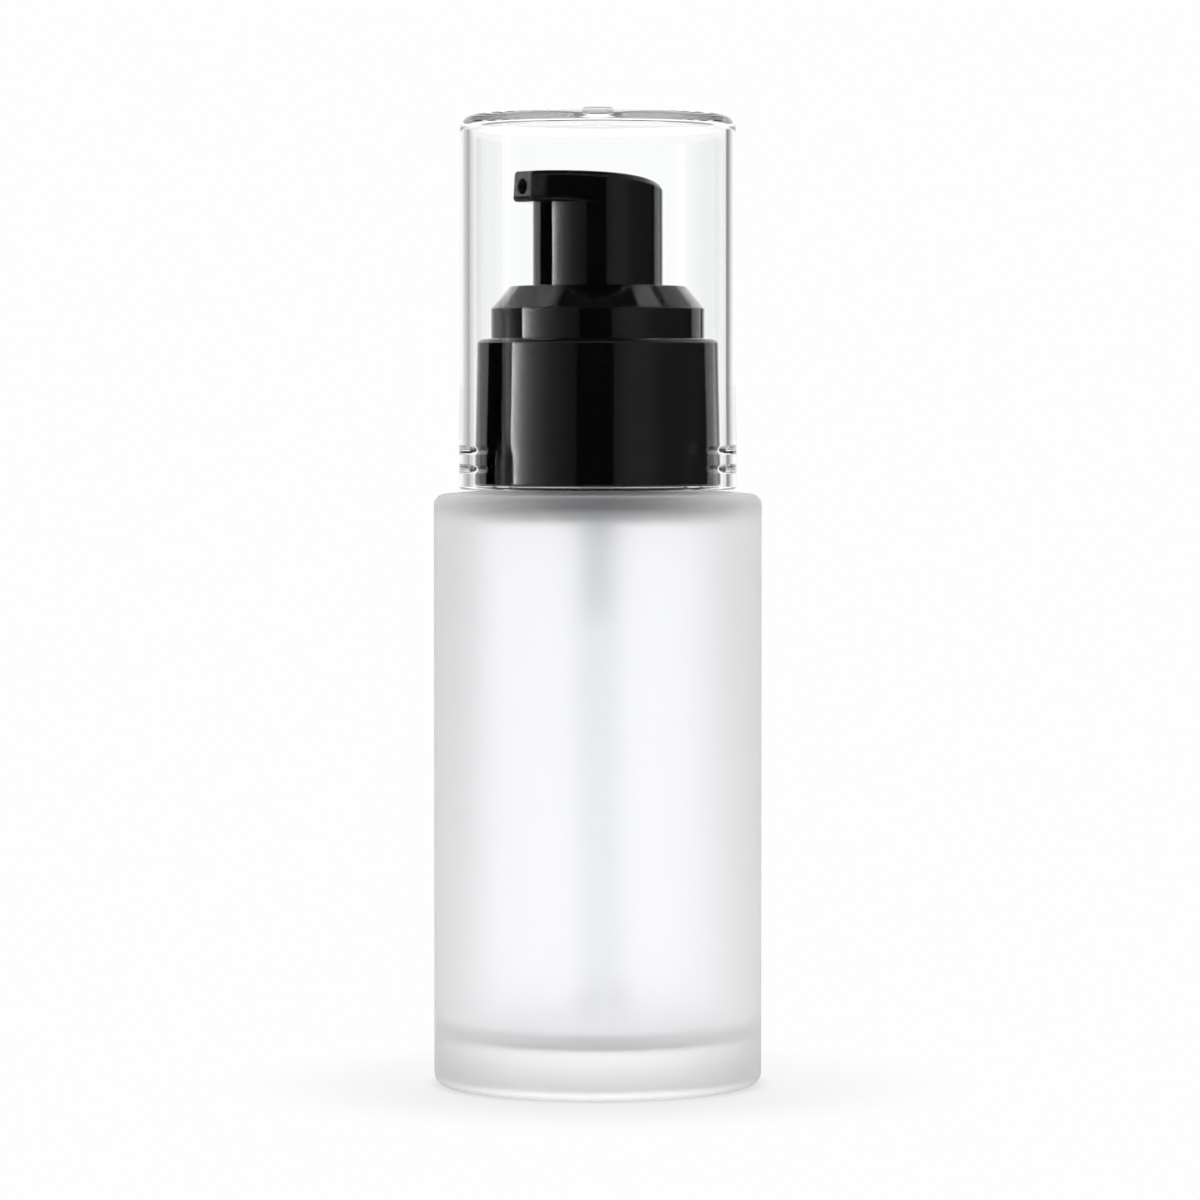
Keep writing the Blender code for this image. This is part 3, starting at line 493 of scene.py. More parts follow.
def thread(angle, height, start):
    """Height share of a ridge along z = start + pitch * turn / tau, faded out at both ends."""
    turn = angle + math.tau * np.round(((height - start) / PITCH - angle / math.tau))
    turn = np.clip(turn, 0, THREAD_TURNS * math.tau)
    away = np.abs(height - start - PITCH * turn / math.tau)
    fades = smooth(turn / THREAD_RUN_OUT) * smooth((THREAD_TURNS * math.tau - turn) / THREAD_RUN_OUT)
    return smooth((RIDGE_REACH - away) / RIDGE_FLANK) * fades


# %% The frosted glass bottle
GLASS_WALL = 2.6 * MM
NECK_RADIUS = 8.9 * MM
NECK_BORE = 6.6 * MM
SHOULDER_HEIGHT = 63 * MM
SHOULDER_RISE = 0.6 * MM
CEILING = 61.7 * MM
BASE_THICKNESS = 5 * MM
PUNT_RISE = 0.9 * MM
PUNT_RADIUS = 13.2 * MM


def bottle_profile():
    """Outline of the glass: push-up, heel, wall, low dome, neck, rim, bore, ceiling and floor."""
    radius, rim = reach("bottle"), head("bottle")
    heel, shoulder, root, edge, roof, corner = (fillet * MM for fillet in (1.3, 1.25, 0.6, 0.4, 1.8, 2.2))
    neck_foot, thread_foot, thread_top = 65 * MM, 65.05 * MM, rim - 0.5 * MM
    share = np.linspace(0, 1, 9)
    punt = zip(share * PUNT_RADIUS, PUNT_RISE * (1 - share ** 2))
    dome_share = np.linspace(0.2, 0.9, 7)
    dome = zip(radius - dome_share * (radius - NECK_RADIUS),
               SHOULDER_HEIGHT + SHOULDER_RISE * np.sin(dome_share * math.pi / 2))
    below = outline(
        *punt, (radius, 0, heel), (radius, SHOULDER_HEIGHT, shoulder), *dome,
        (NECK_RADIUS, SHOULDER_HEIGHT + SHOULDER_RISE, root), (NECK_RADIUS, neck_foot))
    neck = outline((NECK_RADIUS, thread_foot), (NECK_RADIUS, thread_top), step=THREAD_ROW)
    inside = outline(
        (NECK_RADIUS, thread_top), (NECK_RADIUS, rim, edge), (NECK_BORE, rim, edge),
        (NECK_BORE, CEILING + SHOULDER_RISE, root), (radius - GLASS_WALL, CEILING, roof),
        (radius - GLASS_WALL, BASE_THICKNESS, corner), (0, BASE_THICKNESS))[1:]
    return np.concatenate((below, neck, inside))


def neck_thread(angle, height, radius):
    """The thread stands on the outside of the neck only."""
    ridge = THREAD_DEPTH * thread(angle, height, THREAD_START)
    return radius + np.where(np.abs(radius - NECK_RADIUS) < TINY, ridge, 0)


finish_piece("frosted_bottle", turned("frosted_bottle", bottle_profile(), False, neck_thread),
             frosted_glass, "bottle", "bottle")

# %% [markdown]
# The overcap is a thin cup, turned over. At its mouth two pairs of short snap beads lie on
# opposite sides, and four low ribs centre it on the collar. Its top is dished round the stub that
# the mould's gate left.

# %% Sizes of the clear overcap
CAP_WALL = 1.03 * MM
CAP_PLATE = 1.1 * MM
CAP_DISH = 0.75 * MM
CAP_MOUTH_STEP = 0.1 * MM
CAP_MOUTH_HEIGHT = 5.1 * MM
CAP_MOUTH_TAPER = 6 * MM
NUB_RADIUS = 1.76 * MM
NUB_HEIGHT = 1.62 * MM
BEAD_HEIGHTS = (2.2 * MM, 4.2 * MM)
BEAD_DEPTH = 0.15 * MM
BEAD_WIDTH = 0.9 * MM
BEAD_ANGLE = math.radians(51.4)
BEAD_ARC = 0.88, 0.95
RIB_COUNT = 4
RIB_START_DEGREES = 6.4
RIB_DEPTH = 0.1 * MM
RIB_WIDTH = 2.8 * MM
RIB_HEIGHT = 5.4 * MM
RIB_FADE = 2 * MM
RELIEF_ROW = 0.09 * MM


# %% The clear overcap
def cap_profile(mouth):
    """Outline of the cup from the middle of its ceiling down the inside and up the outside."""
    base, top = foot("overcap"), head("overcap")
    outer = reach("overcap") - CAP_MOUTH_STEP
    inner = outer - CAP_WALL
    dish = top - NUB_HEIGHT
    rim = dish + CAP_DISH
    ceiling = rim - CAP_PLATE
    lip, shoulder, corner, nub_edge, band = 0.35 * MM, 1.35 * MM, 0.5 * MM, 0.3 * MM, 2.7 * MM
    wall_foot, relief_top, relief_foot = (base + RIB_HEIGHT + 1 * MM, base + RIB_HEIGHT + 0.9 * MM,
                                          base + 0.4 * MM)
    inside = outline((0, ceiling), (inner, ceiling, corner), (inner, wall_foot))
    relief = outline((inner, relief_top), (inner, relief_foot), step=RELIEF_ROW)
    outside = outline(
        (inner, relief_foot), (inner, base, lip), (mouth, base, lip), (mouth, base + CAP_MOUTH_HEIGHT),
        (outer, base + CAP_MOUTH_HEIGHT + CAP_MOUTH_TAPER), (outer, rim, shoulder),
        (outer - band, rim), (NUB_RADIUS, dish, corner), (NUB_RADIUS, top, nub_edge), (0, top))[1:]
    return np.concatenate((inside, relief, outside))


def cap_relief(angle, height, radius):
    """Beads and ribs swell the inner wall of the mouth towards the axis, each as a cos^2 wave.

    A bead fades where |cos(angle from the beads' middle)| falls through the arc's two values,
    and a rib fades towards its top.
    """
    base = foot("overcap")
    inner = reach("overcap") - CAP_MOUTH_STEP - CAP_WALL
    on_wall = np.abs(radius - inner) < TINY
    arc = smooth((np.abs(np.cos(angle - BEAD_ANGLE)) - BEAD_ARC[0]) / (BEAD_ARC[1] - BEAD_ARC[0]))
    bead = arc * sum(np.cos(math.pi * np.clip((height - base - middle) / BEAD_WIDTH, -0.5, 0.5)) ** 2
                     for middle in BEAD_HEIGHTS)
    pace = math.tau / RIB_COUNT
    turn = (angle - math.radians(RIB_START_DEGREES) + pace / 2) % pace - pace / 2
    rib = np.cos(math.pi * np.clip(np.abs(turn) * inner / RIB_WIDTH, 0, 0.5)) ** 2
    rib = rib * smooth((base + RIB_HEIGHT - height) / RIB_FADE)
    return radius - np.where(on_wall, np.maximum(BEAD_DEPTH * bead, RIB_DEPTH * rib), 0)


cap_mesh = turned("clear_overcap", cap_profile(reach("overcap")), False, cap_relief, FINE_SIDES)
finish_piece("clear_overcap", cap_mesh, clear_plastic, "overcap", "overcap")

# %% [markdown]
# The collar is two glossy shells over a plain screw cap: a sleeve that flares a little to its
# foot, and a chamfered ring round the button. Their edges are barely broken, so each fillet is a
# fraction of a millimetre and catches one thin line of light.


# %% The collar's sleeve and ring
def sleeve_profile():
    """A tall thin band with a rounded upper edge."""
    base, top, outer = extent("collar_sleeve")
    draft, wall, edge = 0.3 * MM, 1.1 * MM, 0.25 * MM
    return outline((outer, base, edge), (outer - draft, top, 2 * edge), (outer - draft - wall, top, edge),
                   (outer - draft - wall, base, edge))


def ring_profile():
    """A side wall, a chamfer, a flat top and a short guide tube, all thin."""
    base, top, outer = extent("collar_ring")
    opening, guide, shelf = 7.25 * MM, 8.0 * MM, 9.44 * MM
    chamfer, guide_depth, wall, edge = 2.37 * MM, 2.7 * MM, 0.9 * MM, 0.18 * MM
    outside = [(outer, base), (outer, top - chamfer), (shelf, top), (guide, top)]
    inside = inset(outside, wall)[::-1]
    return outline(outside[0], (*outside[1], edge), (*outside[2], edge), (opening, top, edge),
                   (opening, top - guide_depth, edge / 2), (guide, top - guide_depth, edge / 2), *inside)


finish_piece("gloss_sleeve", turned("gloss_sleeve", sleeve_profile()), black_plastic,
             "closure", "collar_sleeve")
finish_piece("gloss_ring", turned("gloss_ring", ring_profile()), black_plastic,
             "closure", "collar_ring")

# %% [markdown]
# Under the shells sits a plain screw cap. Its wall is knurled, so that the sleeve grips it, and
# its bore carries the other half of the thread, which lies half a pitch below the neck's.

# %% The screw cap with its knurl and thread
KNURL_LINES = 24
KNURL_DEPTH = 0.25 * MM
CLOSURE_BORE = 10.25 * MM


def closure_profile():
    """A cup turned over, with a hole in its plate for the pump."""
    base, top, outer = extent("closure")
    hole, plate, margin = 6.9 * MM, 0.9 * MM, 0.7 * MM
    edge, wide_edge, knurl_row = 0.1 * MM, 0.4 * MM, 1 * MM
    root = outer - KNURL_DEPTH
    shoulder = top - plate - margin
    wall = outline((outer, base + margin), (outer, shoulder), step=knurl_row)
    crown = outline(
        (root, shoulder + margin), (root, top, wide_edge), (hole, top, edge), (hole, top - plate, edge),
        (CLOSURE_BORE, top - plate, 3 * edge), (CLOSURE_BORE, shoulder))
    thread_rows = outline((CLOSURE_BORE, shoulder - edge), (CLOSURE_BORE, base), step=THREAD_ROW)
    return np.concatenate(([(root, base)], wall, crown, thread_rows))


def closure_relief(angle, height, radius):
    """Knurled lines r = root + depth * cos^2 outside, and the thread's ridge inside."""
    line = np.cos(angle * KNURL_LINES / 2) ** 2
    knurl = np.where(radius > reach("closure") - TINY, KNURL_DEPTH * (1 - line), 0)
    ridge = THREAD_DEPTH * thread(angle, height, THREAD_START - PITCH / 2)
    return radius - knurl - np.where(np.abs(radius - CLOSURE_BORE) < TINY, ridge, 0)


closure_mesh = turned("screw_cap", closure_profile(), True, closure_relief, FINE_SIDES)
finish_piece("screw_cap", closure_mesh, black_plastic, "closure", "closure")

# %% [markdown]
# The actuator is a round button drawn out to a nozzle. Every level of it is the same closed plan,
# moved in or out, so the whole piece is one grid: columns go round the plan, and rows go from the
# inside of the socket, down the cavity, round the skirt's foot, up the outside and over the crown.

# %% Plan of the actuator
SKIRT_RADIUS = reach("actuator")
TIP_REACH = -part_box("actuator")[0].y
TIP_WIDTH = 3.1 * MM
TIP_FILLET = 0.42 * MM
TIP_LEAN = 0.06
LEAN_START = 2 * MM
LEAN_FADE = 1.5 * MM
BACK_FILLET = 0.75 * MM
NOZZLE_UNDERSIDE = 9.8 * MM
TOP_ARC_RADIUS = 57 * MM
TOP_ARC_CREST = 7.5 * MM
PLAN_STEP = 0.4 * MM
BUTTON_POINTS = 121


def head_plan():
    """Closed plan of (across, forward) points: a circle and its two tangents from the tip's corners.

    A tangent from a point at distance d touches the circle of radius r where the angle between
    the point and the touching radius is acos(r / d).
    """
    half = TIP_WIDTH / 2
    corner = math.atan2(half, TIP_REACH)
    touch = corner + math.acos(SKIRT_RADIUS / math.hypot(TIP_REACH, half))
    angle = np.linspace(touch, math.tau - touch, BUTTON_POINTS)
    button = SKIRT_RADIUS * np.stack((np.sin(angle), np.cos(angle)), axis=1)
    right = outline((0, TIP_REACH), (half, TIP_REACH, TIP_FILLET), tuple(button[0]), step=PLAN_STEP)[:-1]
    return np.concatenate((right, button, right[:0:-1] * (-1, 1)))


def crown_height(forward):
    """Height of the crown over the skirt's foot, an arc: crest - (forward - middle)^2 / 2R."""
    crest = head("actuator") - foot("actuator")
    return crest - (forward - TOP_ARC_CREST) ** 2 / (2 * TOP_ARC_RADIUS)


plan = head_plan()
OUTLET_HEIGHT = (NOZZLE_UNDERSIDE + crown_height(TIP_REACH)) / 2
print("plan points:", len(plan), "reach in mm:", round(plan[:, 1].max() / MM, 2))

# %% Rows of the actuator's outside
WALL_SHARES = 0.08, 0.5, 0.92
CROWN_SHARES = 0.97, 0.9, 0.8, 0.65, 0.5, 0.35, 0.2, 0
KEEL_ROWS = 6
FILLET_ROWS = 12


def outer_rows():
    """Rows from the skirt's foot to the crown, each a plan moved in by a fillet's 1 - cos."""
    along = np.roll(plan, -1, axis=0) - np.roll(plan, 1, axis=0)
    inward = np.stack((along[:, 1], -along[:, 0]), axis=1) / np.hypot(*along.T)[:, None]
    behind = np.clip(0.5 - plan[:, 1] / (2 * SKIRT_RADIUS), 0, 1)
    fillet = (TIP_FILLET + (BACK_FILLET - TIP_FILLET) * behind)[:, None]
    far = np.hypot(*plan.T)[:, None]
    circle = plan / far * SKIRT_RADIUS
    level = np.minimum(NOZZLE_UNDERSIDE, crown_height(plan[:, 1:]) - fillet)
    keel = np.minimum(TIP_FILLET, (far - SKIRT_RADIUS) / 2)
    low = level + keel
    rows = [np.hstack((circle, level))]
    for turn in np.linspace(0, math.pi / 2, KEEL_ROWS):
        moved = plan + inward * keel * (1 - math.sin(turn))
        rows.append(np.hstack((moved, level + keel * (1 - math.cos(turn)))))
    for share in WALL_SHARES:
        rows.append(np.hstack((plan, low + (crown_height(plan[:, 1:]) - fillet - low) * share)))
    for turn in np.linspace(0, math.pi / 2, FILLET_ROWS):
        moved = plan + inward * fillet * (1 - math.cos(turn))
        rows.append(np.hstack((moved, crown_height(moved[:, 1:]) - fillet * (1 - math.sin(turn)))))
    edge = rows[-1][:, :2]
    for share in CROWN_SHARES:
        rows.append(np.hstack((edge * share, crown_height(edge[:, 1:] * share))))
    rows = np.array(rows)
    at_tip = smooth((rows[..., 1] - TIP_REACH + LEAN_START) / LEAN_FADE)
    rows[..., 1] -= TIP_LEAN * at_tip * (rows[..., 2] - NOZZLE_UNDERSIDE)
    return rows


def inner_rows():
    """Round rows from the riser's end down the socket, up the cavity and round the skirt's foot."""
    socket, socket_wall, riser, skirt_wall = 2.5 * MM, 0.9 * MM, 1.2 * MM, 1 * MM
    low, depth, roof, past_outlet = 2.0 * MM, 5.6 * MM, 8.6 * MM, 0.4 * MM
    edge, fillet = 0.1 * MM, 0.5 * MM
    inner, top = SKIRT_RADIUS - skirt_wall, OUTLET_HEIGHT + past_outlet
    profile = outline(
        (0, top), (riser, top), (riser, low + depth), (socket, low + depth), (socket, low, edge),
        (socket + socket_wall, low, edge), (socket + socket_wall, roof, fillet), (inner, roof, fillet),
        (inner, 0, edge), (SKIRT_RADIUS, 0, edge), (SKIRT_RADIUS, NOZZLE_UNDERSIDE / 2))
    unit = plan / np.hypot(*plan.T)[:, None]
    return [np.hstack((unit * radius, np.full((len(plan), 1), height))) for radius, height in profile]


# %% The actuator, drilled for its outlet
def actuator_mesh():
    """The grid of rows, with a bore from the tip to the riser whose mouth is a little wider."""
    rows = np.concatenate((inner_rows(), outer_rows()))
    points = rows * (1, -1, 1) + (0, 0, foot("actuator"))
    mesh = grid_mesh("actuator_head", points)
    shape = bmesh.new()
    shape.from_mesh(mesh)
    bmesh.ops.remove_doubles(shape, verts=shape.verts, dist=TINY)
    shape.to_mesh(mesh)
    shape.free()
    bore, lip, overrun = 0.81 * MM, 0.12 * MM, 1 * MM
    profile = outline((0, 0), (bore, 0), (bore, TIP_REACH - lip), (bore + lip, TIP_REACH),
                      (bore + lip, TIP_REACH + overrun), (0, TIP_REACH + overrun))
    tool = turned("outlet_drill", profile, False, sides=64)
    outlet = Matrix.Translation((0, 0, foot("actuator") + OUTLET_HEIGHT))
    tool.transform(outlet @ Matrix.Rotation(math.pi / 2, 4, 'X'))
    return drilled(mesh, tool)


finish_piece("gloss_actuator", actuator_mesh(), black_plastic, "actuator",
             "actuator", sharp=40)

# %% [markdown]
# The chamber hangs from its flange through the neck. All its steps follow from the frame: the
# flange on top, the barrel, the cage that keeps the ball, the seat and the spigot for the tube.

# %% The pump chamber
BARREL_BORE = 4.05 * MM
BARREL_RADIUS = 4.9 * MM
NOSE_RADIUS = 2.3 * MM
CAGE_RADIUS = 1.5 * MM
INLET_RADIUS = 0.7 * MM
SPRING_GAP = 0.3 * MM
BALL_RADIUS = (head("inlet_ball") - foot("inlet_ball")) / 2


def housing_profile():
    """Flange, barrel, nose and spigot outside; bore, ledge, cage, cone and inlet inside."""
    tip, top, flange = extent("housing")
    flange_plate, ledge_plate, nose_depth, cage_roof = 0.7 * MM, 0.9 * MM, 4.4 * MM, 0.6 * MM
    spigot_tip, spigot, barrel_fillet, edge = 1.05 * MM, 1.25 * MM, 1.2 * MM, 0.1 * MM
    seat_gap, cage_lip = 0.05 * MM, 0.3 * MM
    cone = (foot("inlet_ball") + head("inlet_ball")) / 2 - (BALL_RADIUS + seat_gap) * math.sqrt(2)
    ledge, way = foot("spring") - SPRING_GAP, BALL_RADIUS - cage_lip
    nose_top, nose_bottom = ledge - ledge_plate, ledge - nose_depth
    return outline(
        (INLET_RADIUS, tip), (spigot_tip, tip, edge), (spigot, nose_bottom),
        (NOSE_RADIUS, nose_bottom, edge), (NOSE_RADIUS, nose_top, edge),
        (BARREL_RADIUS, nose_top, barrel_fillet), (BARREL_RADIUS, top - flange_plate, edge),
        (flange, top - flange_plate, edge), (flange, top, edge), (BARREL_BORE, top, edge),
        (BARREL_BORE, ledge), (way, ledge, edge), (way, ledge - cage_roof), (CAGE_RADIUS, ledge - cage_roof),
        (CAGE_RADIUS, cone + CAGE_RADIUS), (INLET_RADIUS, cone + INLET_RADIUS))


def vent_drill():
    """A cylinder along X through one side of the barrel, by which air enters the bottle."""
    radius, length, start, depth = 0.4 * MM, 2 * MM, 3.5 * MM, 3.6 * MM
    drill = turned("vent_drill", outline((0, 0), (radius, 0), (radius, length), (0, length)), False, sides=32)
    place = Matrix.Translation((start, 0, foot("gasket") - depth))
    drill.transform(place @ Matrix.Rotation(math.pi / 2, 4, 'Y'))
    return drill


chamber = drilled(turned("pump_chamber", housing_profile()), vent_drill())
finish_piece("pump_chamber", chamber, natural_plastic, "pump", "housing")


# %% The liner under the flange
def liner_profile():
    """A flat ring with broken edges, loose round the barrel."""
    low, high, outer = extent("gasket")
    play, edge = 0.3 * MM, 0.08 * MM
    hole = BARREL_RADIUS + play
    return outline((hole, low, edge), (outer, low, edge), (outer, high, edge), (hole, high, edge))


finish_piece("liner", turned("liner", liner_profile()), white_plastic, "pump", "gasket")

# %% [markdown]
# The ball is steel and loose in its cage. The spring above it is a wire swept along a helix, whose
# ends close up as on a coil that stands flat.

# %% The check ball
turn = np.linspace(-math.pi / 2, math.pi / 2, 49)
arc = np.stack((BALL_RADIUS * np.cos(turn), foot("inlet_ball") + BALL_RADIUS * (1 + np.sin(turn))), axis=1)
arc[[0, -1], 0] = 0
finish_piece("check_ball", turned("check_ball", arc, False, sides=96), steel, "inlet_ball",
             "inlet_ball")

# %% The return spring
WIRE_RADIUS = 0.225 * MM
WIRE_SIDES = 20
COIL_RADIUS = 2.7 * MM
COIL_TURNS = 5
COIL_STEPS = 48
COIL_END_SHARE = 0.8


def spring_mesh():
    """Tube round the helix (R cos t, R sin t, z), whose rise slows at both ends.

    The share s of the turns gives the height share s - end sin(tau s) / tau. The section lies in
    the plane of the outward normal and of the cross product of the path's direction with it.
    """
    low, high = foot("spring") + WIRE_RADIUS, head("spring") - WIRE_RADIUS
    share = np.linspace(0, 1, COIL_TURNS * COIL_STEPS + 1)
    turn = math.tau * COIL_TURNS * share
    height = low + (high - low) * (share - COIL_END_SHARE * np.sin(math.tau * share) / math.tau)
    path = np.stack((COIL_RADIUS * np.cos(turn), COIL_RADIUS * np.sin(turn), height), axis=1)
    direction = np.gradient(path, axis=0)
    direction /= np.linalg.norm(direction, axis=1)[:, None]
    outward = np.stack((np.cos(turn), np.sin(turn), 0 * turn), axis=1)
    outward -= direction * (outward * direction).sum(axis=1)[:, None]
    upward = np.cross(direction, outward)
    around = np.linspace(0, math.tau, WIRE_SIDES, endpoint=False)[None, :, None]
    section = WIRE_RADIUS * (np.cos(around) * outward[:, None] + np.sin(around) * upward[:, None])
    points = path[:, None] + section
    ends = [np.repeat(path[index][None, None], WIRE_SIDES, axis=1) for index in (0, -1)]
    return grid_mesh("return_spring", np.concatenate((ends[0], points, ends[1])))


spring = finish_piece("return_spring", spring_mesh(), steel, "pump", "spring")
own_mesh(spring)

# %% [markdown]
# The dip tube is drawn polyethylene. It keeps a little of the curve that it had on its reel, so it
# drifts to one side on its way down, and its foot is cut on a slant so that it can't seal itself.

# %% The dip tube
TUBE_RADIUS = 2.15 * MM
TUBE_BORE = 1.55 * MM
TUBE_SIDES = 96
TUBE_ROWS = 40
TUBE_CUT_RISE = 3.5 * MM
TUBE_CUT_MARGIN = 0.3 * MM
TUBE_DRIFT = 0.65 * MM
TUBE_LEAN = math.radians(51.4)
SPIGOT_LENGTH = 8 * MM


def tube_mesh():
    """Rings whose centres drift by the square of their distance below the spigot.

    The foot's ring is lifted by rise * (1 - r sin a / R) / 2, with a measured from the lean.
    """
    base, top = foot("dip_tube"), head("dip_tube")
    bend = top - SPIGOT_LENGTH - base
    first = base + TUBE_CUT_RISE + TUBE_CUT_MARGIN
    height = np.concatenate(([base], np.linspace(first, top, TUBE_ROWS)))
    height = np.concatenate((height, height[::-1]))[:, None]
    radius = np.repeat((TUBE_RADIUS, TUBE_BORE), len(height) // 2)[:, None]
    angle = np.linspace(0, math.tau, TUBE_SIDES, endpoint=False)[None]
    drift = TUBE_DRIFT * np.clip((base + bend - height) / bend, 0, None) ** 2
    across = -np.sin(angle - TUBE_LEAN) * radius / TUBE_RADIUS
    lift = np.where(height == base, TUBE_CUT_RISE * (1 + across) / 2, 0)
    return grid_mesh("dip_tube_drawn", np.stack(np.broadcast_arrays(
        radius * np.cos(angle) + drift * math.cos(TUBE_LEAN),
        radius * np.sin(angle) + drift * math.sin(TUBE_LEAN), height + lift), axis=-1), closed=True)


finish_piece("dip_tube_drawn", tube_mesh(), natural_plastic, "pump", "dip_tube")

# %% [markdown]
# The moving works of the pump are white acetal: a fluted rod, a piston that floats on it, the
# hollow stem and the guide that closes the chamber.

# %% The fluted rod
ROD_SHANK = 1.15 * MM
ROD_WEB = 0.6 * MM
ROD_FLUTES_BELOW_TIP = 7.3 * MM
ROD_NARROWEST_ARM = 0.05


def rod_profile():
    """Pin, head, cone and shank, with a double row where the flutes begin."""
    base, tip, outer = extent("valve_rod")
    pin, pin_height, disc, edge = 1.6 * MM, 1.4 * MM, 0.7 * MM, 0.1 * MM
    cone_foot, above_cone, tip_edge = ROD_SHANK + 0.4 * MM, 0.7 * MM, 0.01 * MM
    low, flutes = base + pin_height, tip - ROD_FLUTES_BELOW_TIP
    lower = outline((0, base), (pin, base, pin / 2), (pin, low), (outer, low, edge),
                    (outer, low + disc, edge), (cone_foot, low + disc),
                    (ROD_SHANK, flutes - above_cone), (ROD_SHANK, flutes - TINY), (ROD_SHANK, flutes))
    return np.concatenate((lower, outline((ROD_SHANK, tip - tip_edge), (ROD_SHANK, tip), (0, tip))))


def rod_flutes(angle, height, radius):
    """A cross of two webs: the radius stops at half a web over the sine from the nearest arm."""
    arm = np.abs((angle + math.pi / 4) % (math.pi / 2) - math.pi / 4)
    web = ROD_WEB / 2 / np.sin(np.maximum(arm, ROD_NARROWEST_ARM))
    fluted = height > head("valve_rod") - ROD_FLUTES_BELOW_TIP - TINY / 2
    return np.where(fluted, np.minimum(radius, web), radius)


finish_piece("fluted_rod", turned("fluted_rod", rod_profile(), False, rod_flutes), white_plastic,
             "plunger", "valve_rod")


# %% The floating piston
def piston_profile():
    """Two wiping lips, a waist, a web and a thin tube that telescopes into the stem."""
    base, top, lip = extent("piston")
    height, depth, thick, web = 3.1 * MM, 1 * MM, 0.5 * MM, 1.3 * MM
    bore, tube, waist = 1.45 * MM, 1.75 * MM, 3.4 * MM
    seat_rise, seat_width, edge = 0.6 * MM, 0.15 * MM, 0.05 * MM
    web_low, seat = base + (height - web) / 2, bore + seat_rise
    return outline(
        (seat, base, edge), (seat + seat_width, base, edge), (seat + seat_width, web_low, edge),
        (waist - thick, web_low, edge), (lip - thick, base, edge), (lip, base, edge),
        (waist, base + depth, 2 * edge), (waist, base + height - depth, 2 * edge), (lip, base + height, edge),
        (lip - thick, base + height, edge), (waist - thick, web_low + web, edge),
        (tube, web_low + web, edge), (tube, top, edge), (bore, top, edge), (bore, base + seat_rise, edge))


finish_piece("floating_piston", turned("floating_piston", piston_profile()), white_plastic,
             "piston", "piston")


# %% The hollow stem and its guide
def stem_profile():
    """A tube with a foot, and a counterbore for the piston's tube."""
    base, top, outer = extent("stem")
    tube, bore, counterbore, thick, edge = 2.4 * MM, 1.5 * MM, 1.95 * MM, 0.85 * MM, 0.1 * MM
    piston_room = 1.1 * MM
    step = head("piston") + piston_room
    return outline(
        (outer, base, edge), (outer, base + thick, edge), (tube, base + thick, edge), (tube, top, edge),
        (bore, top, edge), (bore, step), (counterbore, step), (counterbore, base, edge))


def guide_profile():
    """A plug in the barrel, a flange on the chamber and a boss round the stem."""
    base, top, outer = extent("stem_guide")
    bore, plug, boss, edge = 2.6 * MM, 3.75 * MM, 3.9 * MM, 0.2 * MM
    plug_length, flange = 1.2 * MM, 0.8 * MM
    seat = base + plug_length
    return outline(
        (plug, base, edge / 2), (plug, seat), (outer, seat, edge / 2), (outer, seat + flange, edge),
        (boss, seat + flange, edge), (boss, top, edge), (bore, top, edge / 2), (bore, base, edge / 2))


finish_piece("hollow_stem", turned("hollow_stem", stem_profile()), white_plastic,
             "plunger", "stem")
finish_piece("stem_guide_plug", turned("stem_guide_plug", guide_profile()), white_plastic,
             "pump", "stem_guide")

# %% [markdown]
# A long lens from far away keeps the bottle's sides nearly parallel, as in a catalogue picture.
# The camera stands level with the collar and looks down by two degrees.

# %% The camera
CAMERA_DEGREES = 51.4
CAMERA_DISTANCE = 588 * MM
CAMERA_HEIGHT = 71.9 * MM
AIM_HEIGHT = 51.76 * MM
AIM_RIGHT = 0.235 * MM
LENS = 165.2
SENSOR_WIDTH = 36
NEAREST_SEEN = 10 * MM

toward = Vector((math.sin(math.radians(CAMERA_DEGREES)), -math.cos(math.radians(CAMERA_DEGREES)), 0))
right = Vector((-toward.y, toward.x, 0))
camera = placed("camera", bpy.data.cameras.new("camera"))
bpy.context.scene.camera = camera
camera.data.lens = LENS
camera.data.sensor_width = SENSOR_WIDTH
camera.data.clip_start = NEAREST_SEEN
camera.location = toward * CAMERA_DISTANCE + Vector((0, 0, CAMERA_HEIGHT))
aim = right * AIM_RIGHT + Vector((0, 0, AIM_HEIGHT))
camera.rotation_euler = (aim - camera.location).to_track_quat('-Z', 'Y').to_euler()
print("camera at", [round(value, 3) for value in camera.location])

# %% [markdown]
# The studio is a white sweep with one tall soft box on the left. Glossy black plastic shows
# every lamp as a streak, so the room is written down as plans: how bright each direction is, in
# degrees from the camera, left being minus. There are plans for level, rising and high light, and
# two tones overhead. It is all in the world, so it lights every side.

# %% Plans of the room's light
SWEEP_WHITE = 0.99
SWEEP_LIT = 1.1
SWEEP_MIRRORED = 0.35
LEVEL_LIGHT = ((-180, 1.03), (-163, 1.03), (-155, 0.62), (-149, 0.58), (-146, 0.4), (-123, 0.5), (-121, 0.0),
               (-86.8, 0.0), (-85.8, 6.8), (-83, 3.8), (-76, 1.7), (-70, 0.9), (-60, 0.45), (-46, 0.2),
               (-30, 0.1), (-20.5, 0.08), (-19, 0.012), (14, 0.012), (15.5, 0.11), (30, 0.18), (46, 0.18),
               (62, 0.095), (100, 0.065), (117, 0.02), (119, 0.5), (140, 0.8), (144, 0.1), (148, 0.15),
               (153, 0.7), (160, 1.03), (180, 1.03))
RISING_LIGHT = ((-180, 1.3), (-165, 1.25), (-155, 1.1), (-140, 1.15), (-100, 0.9), (-80, 0.5), (-40, 0.2),
                (40, 0.2), (80, 0.5), (100, 0.9), (140, 1.2), (158, 1.2), (166, 1.25), (180, 1.3))
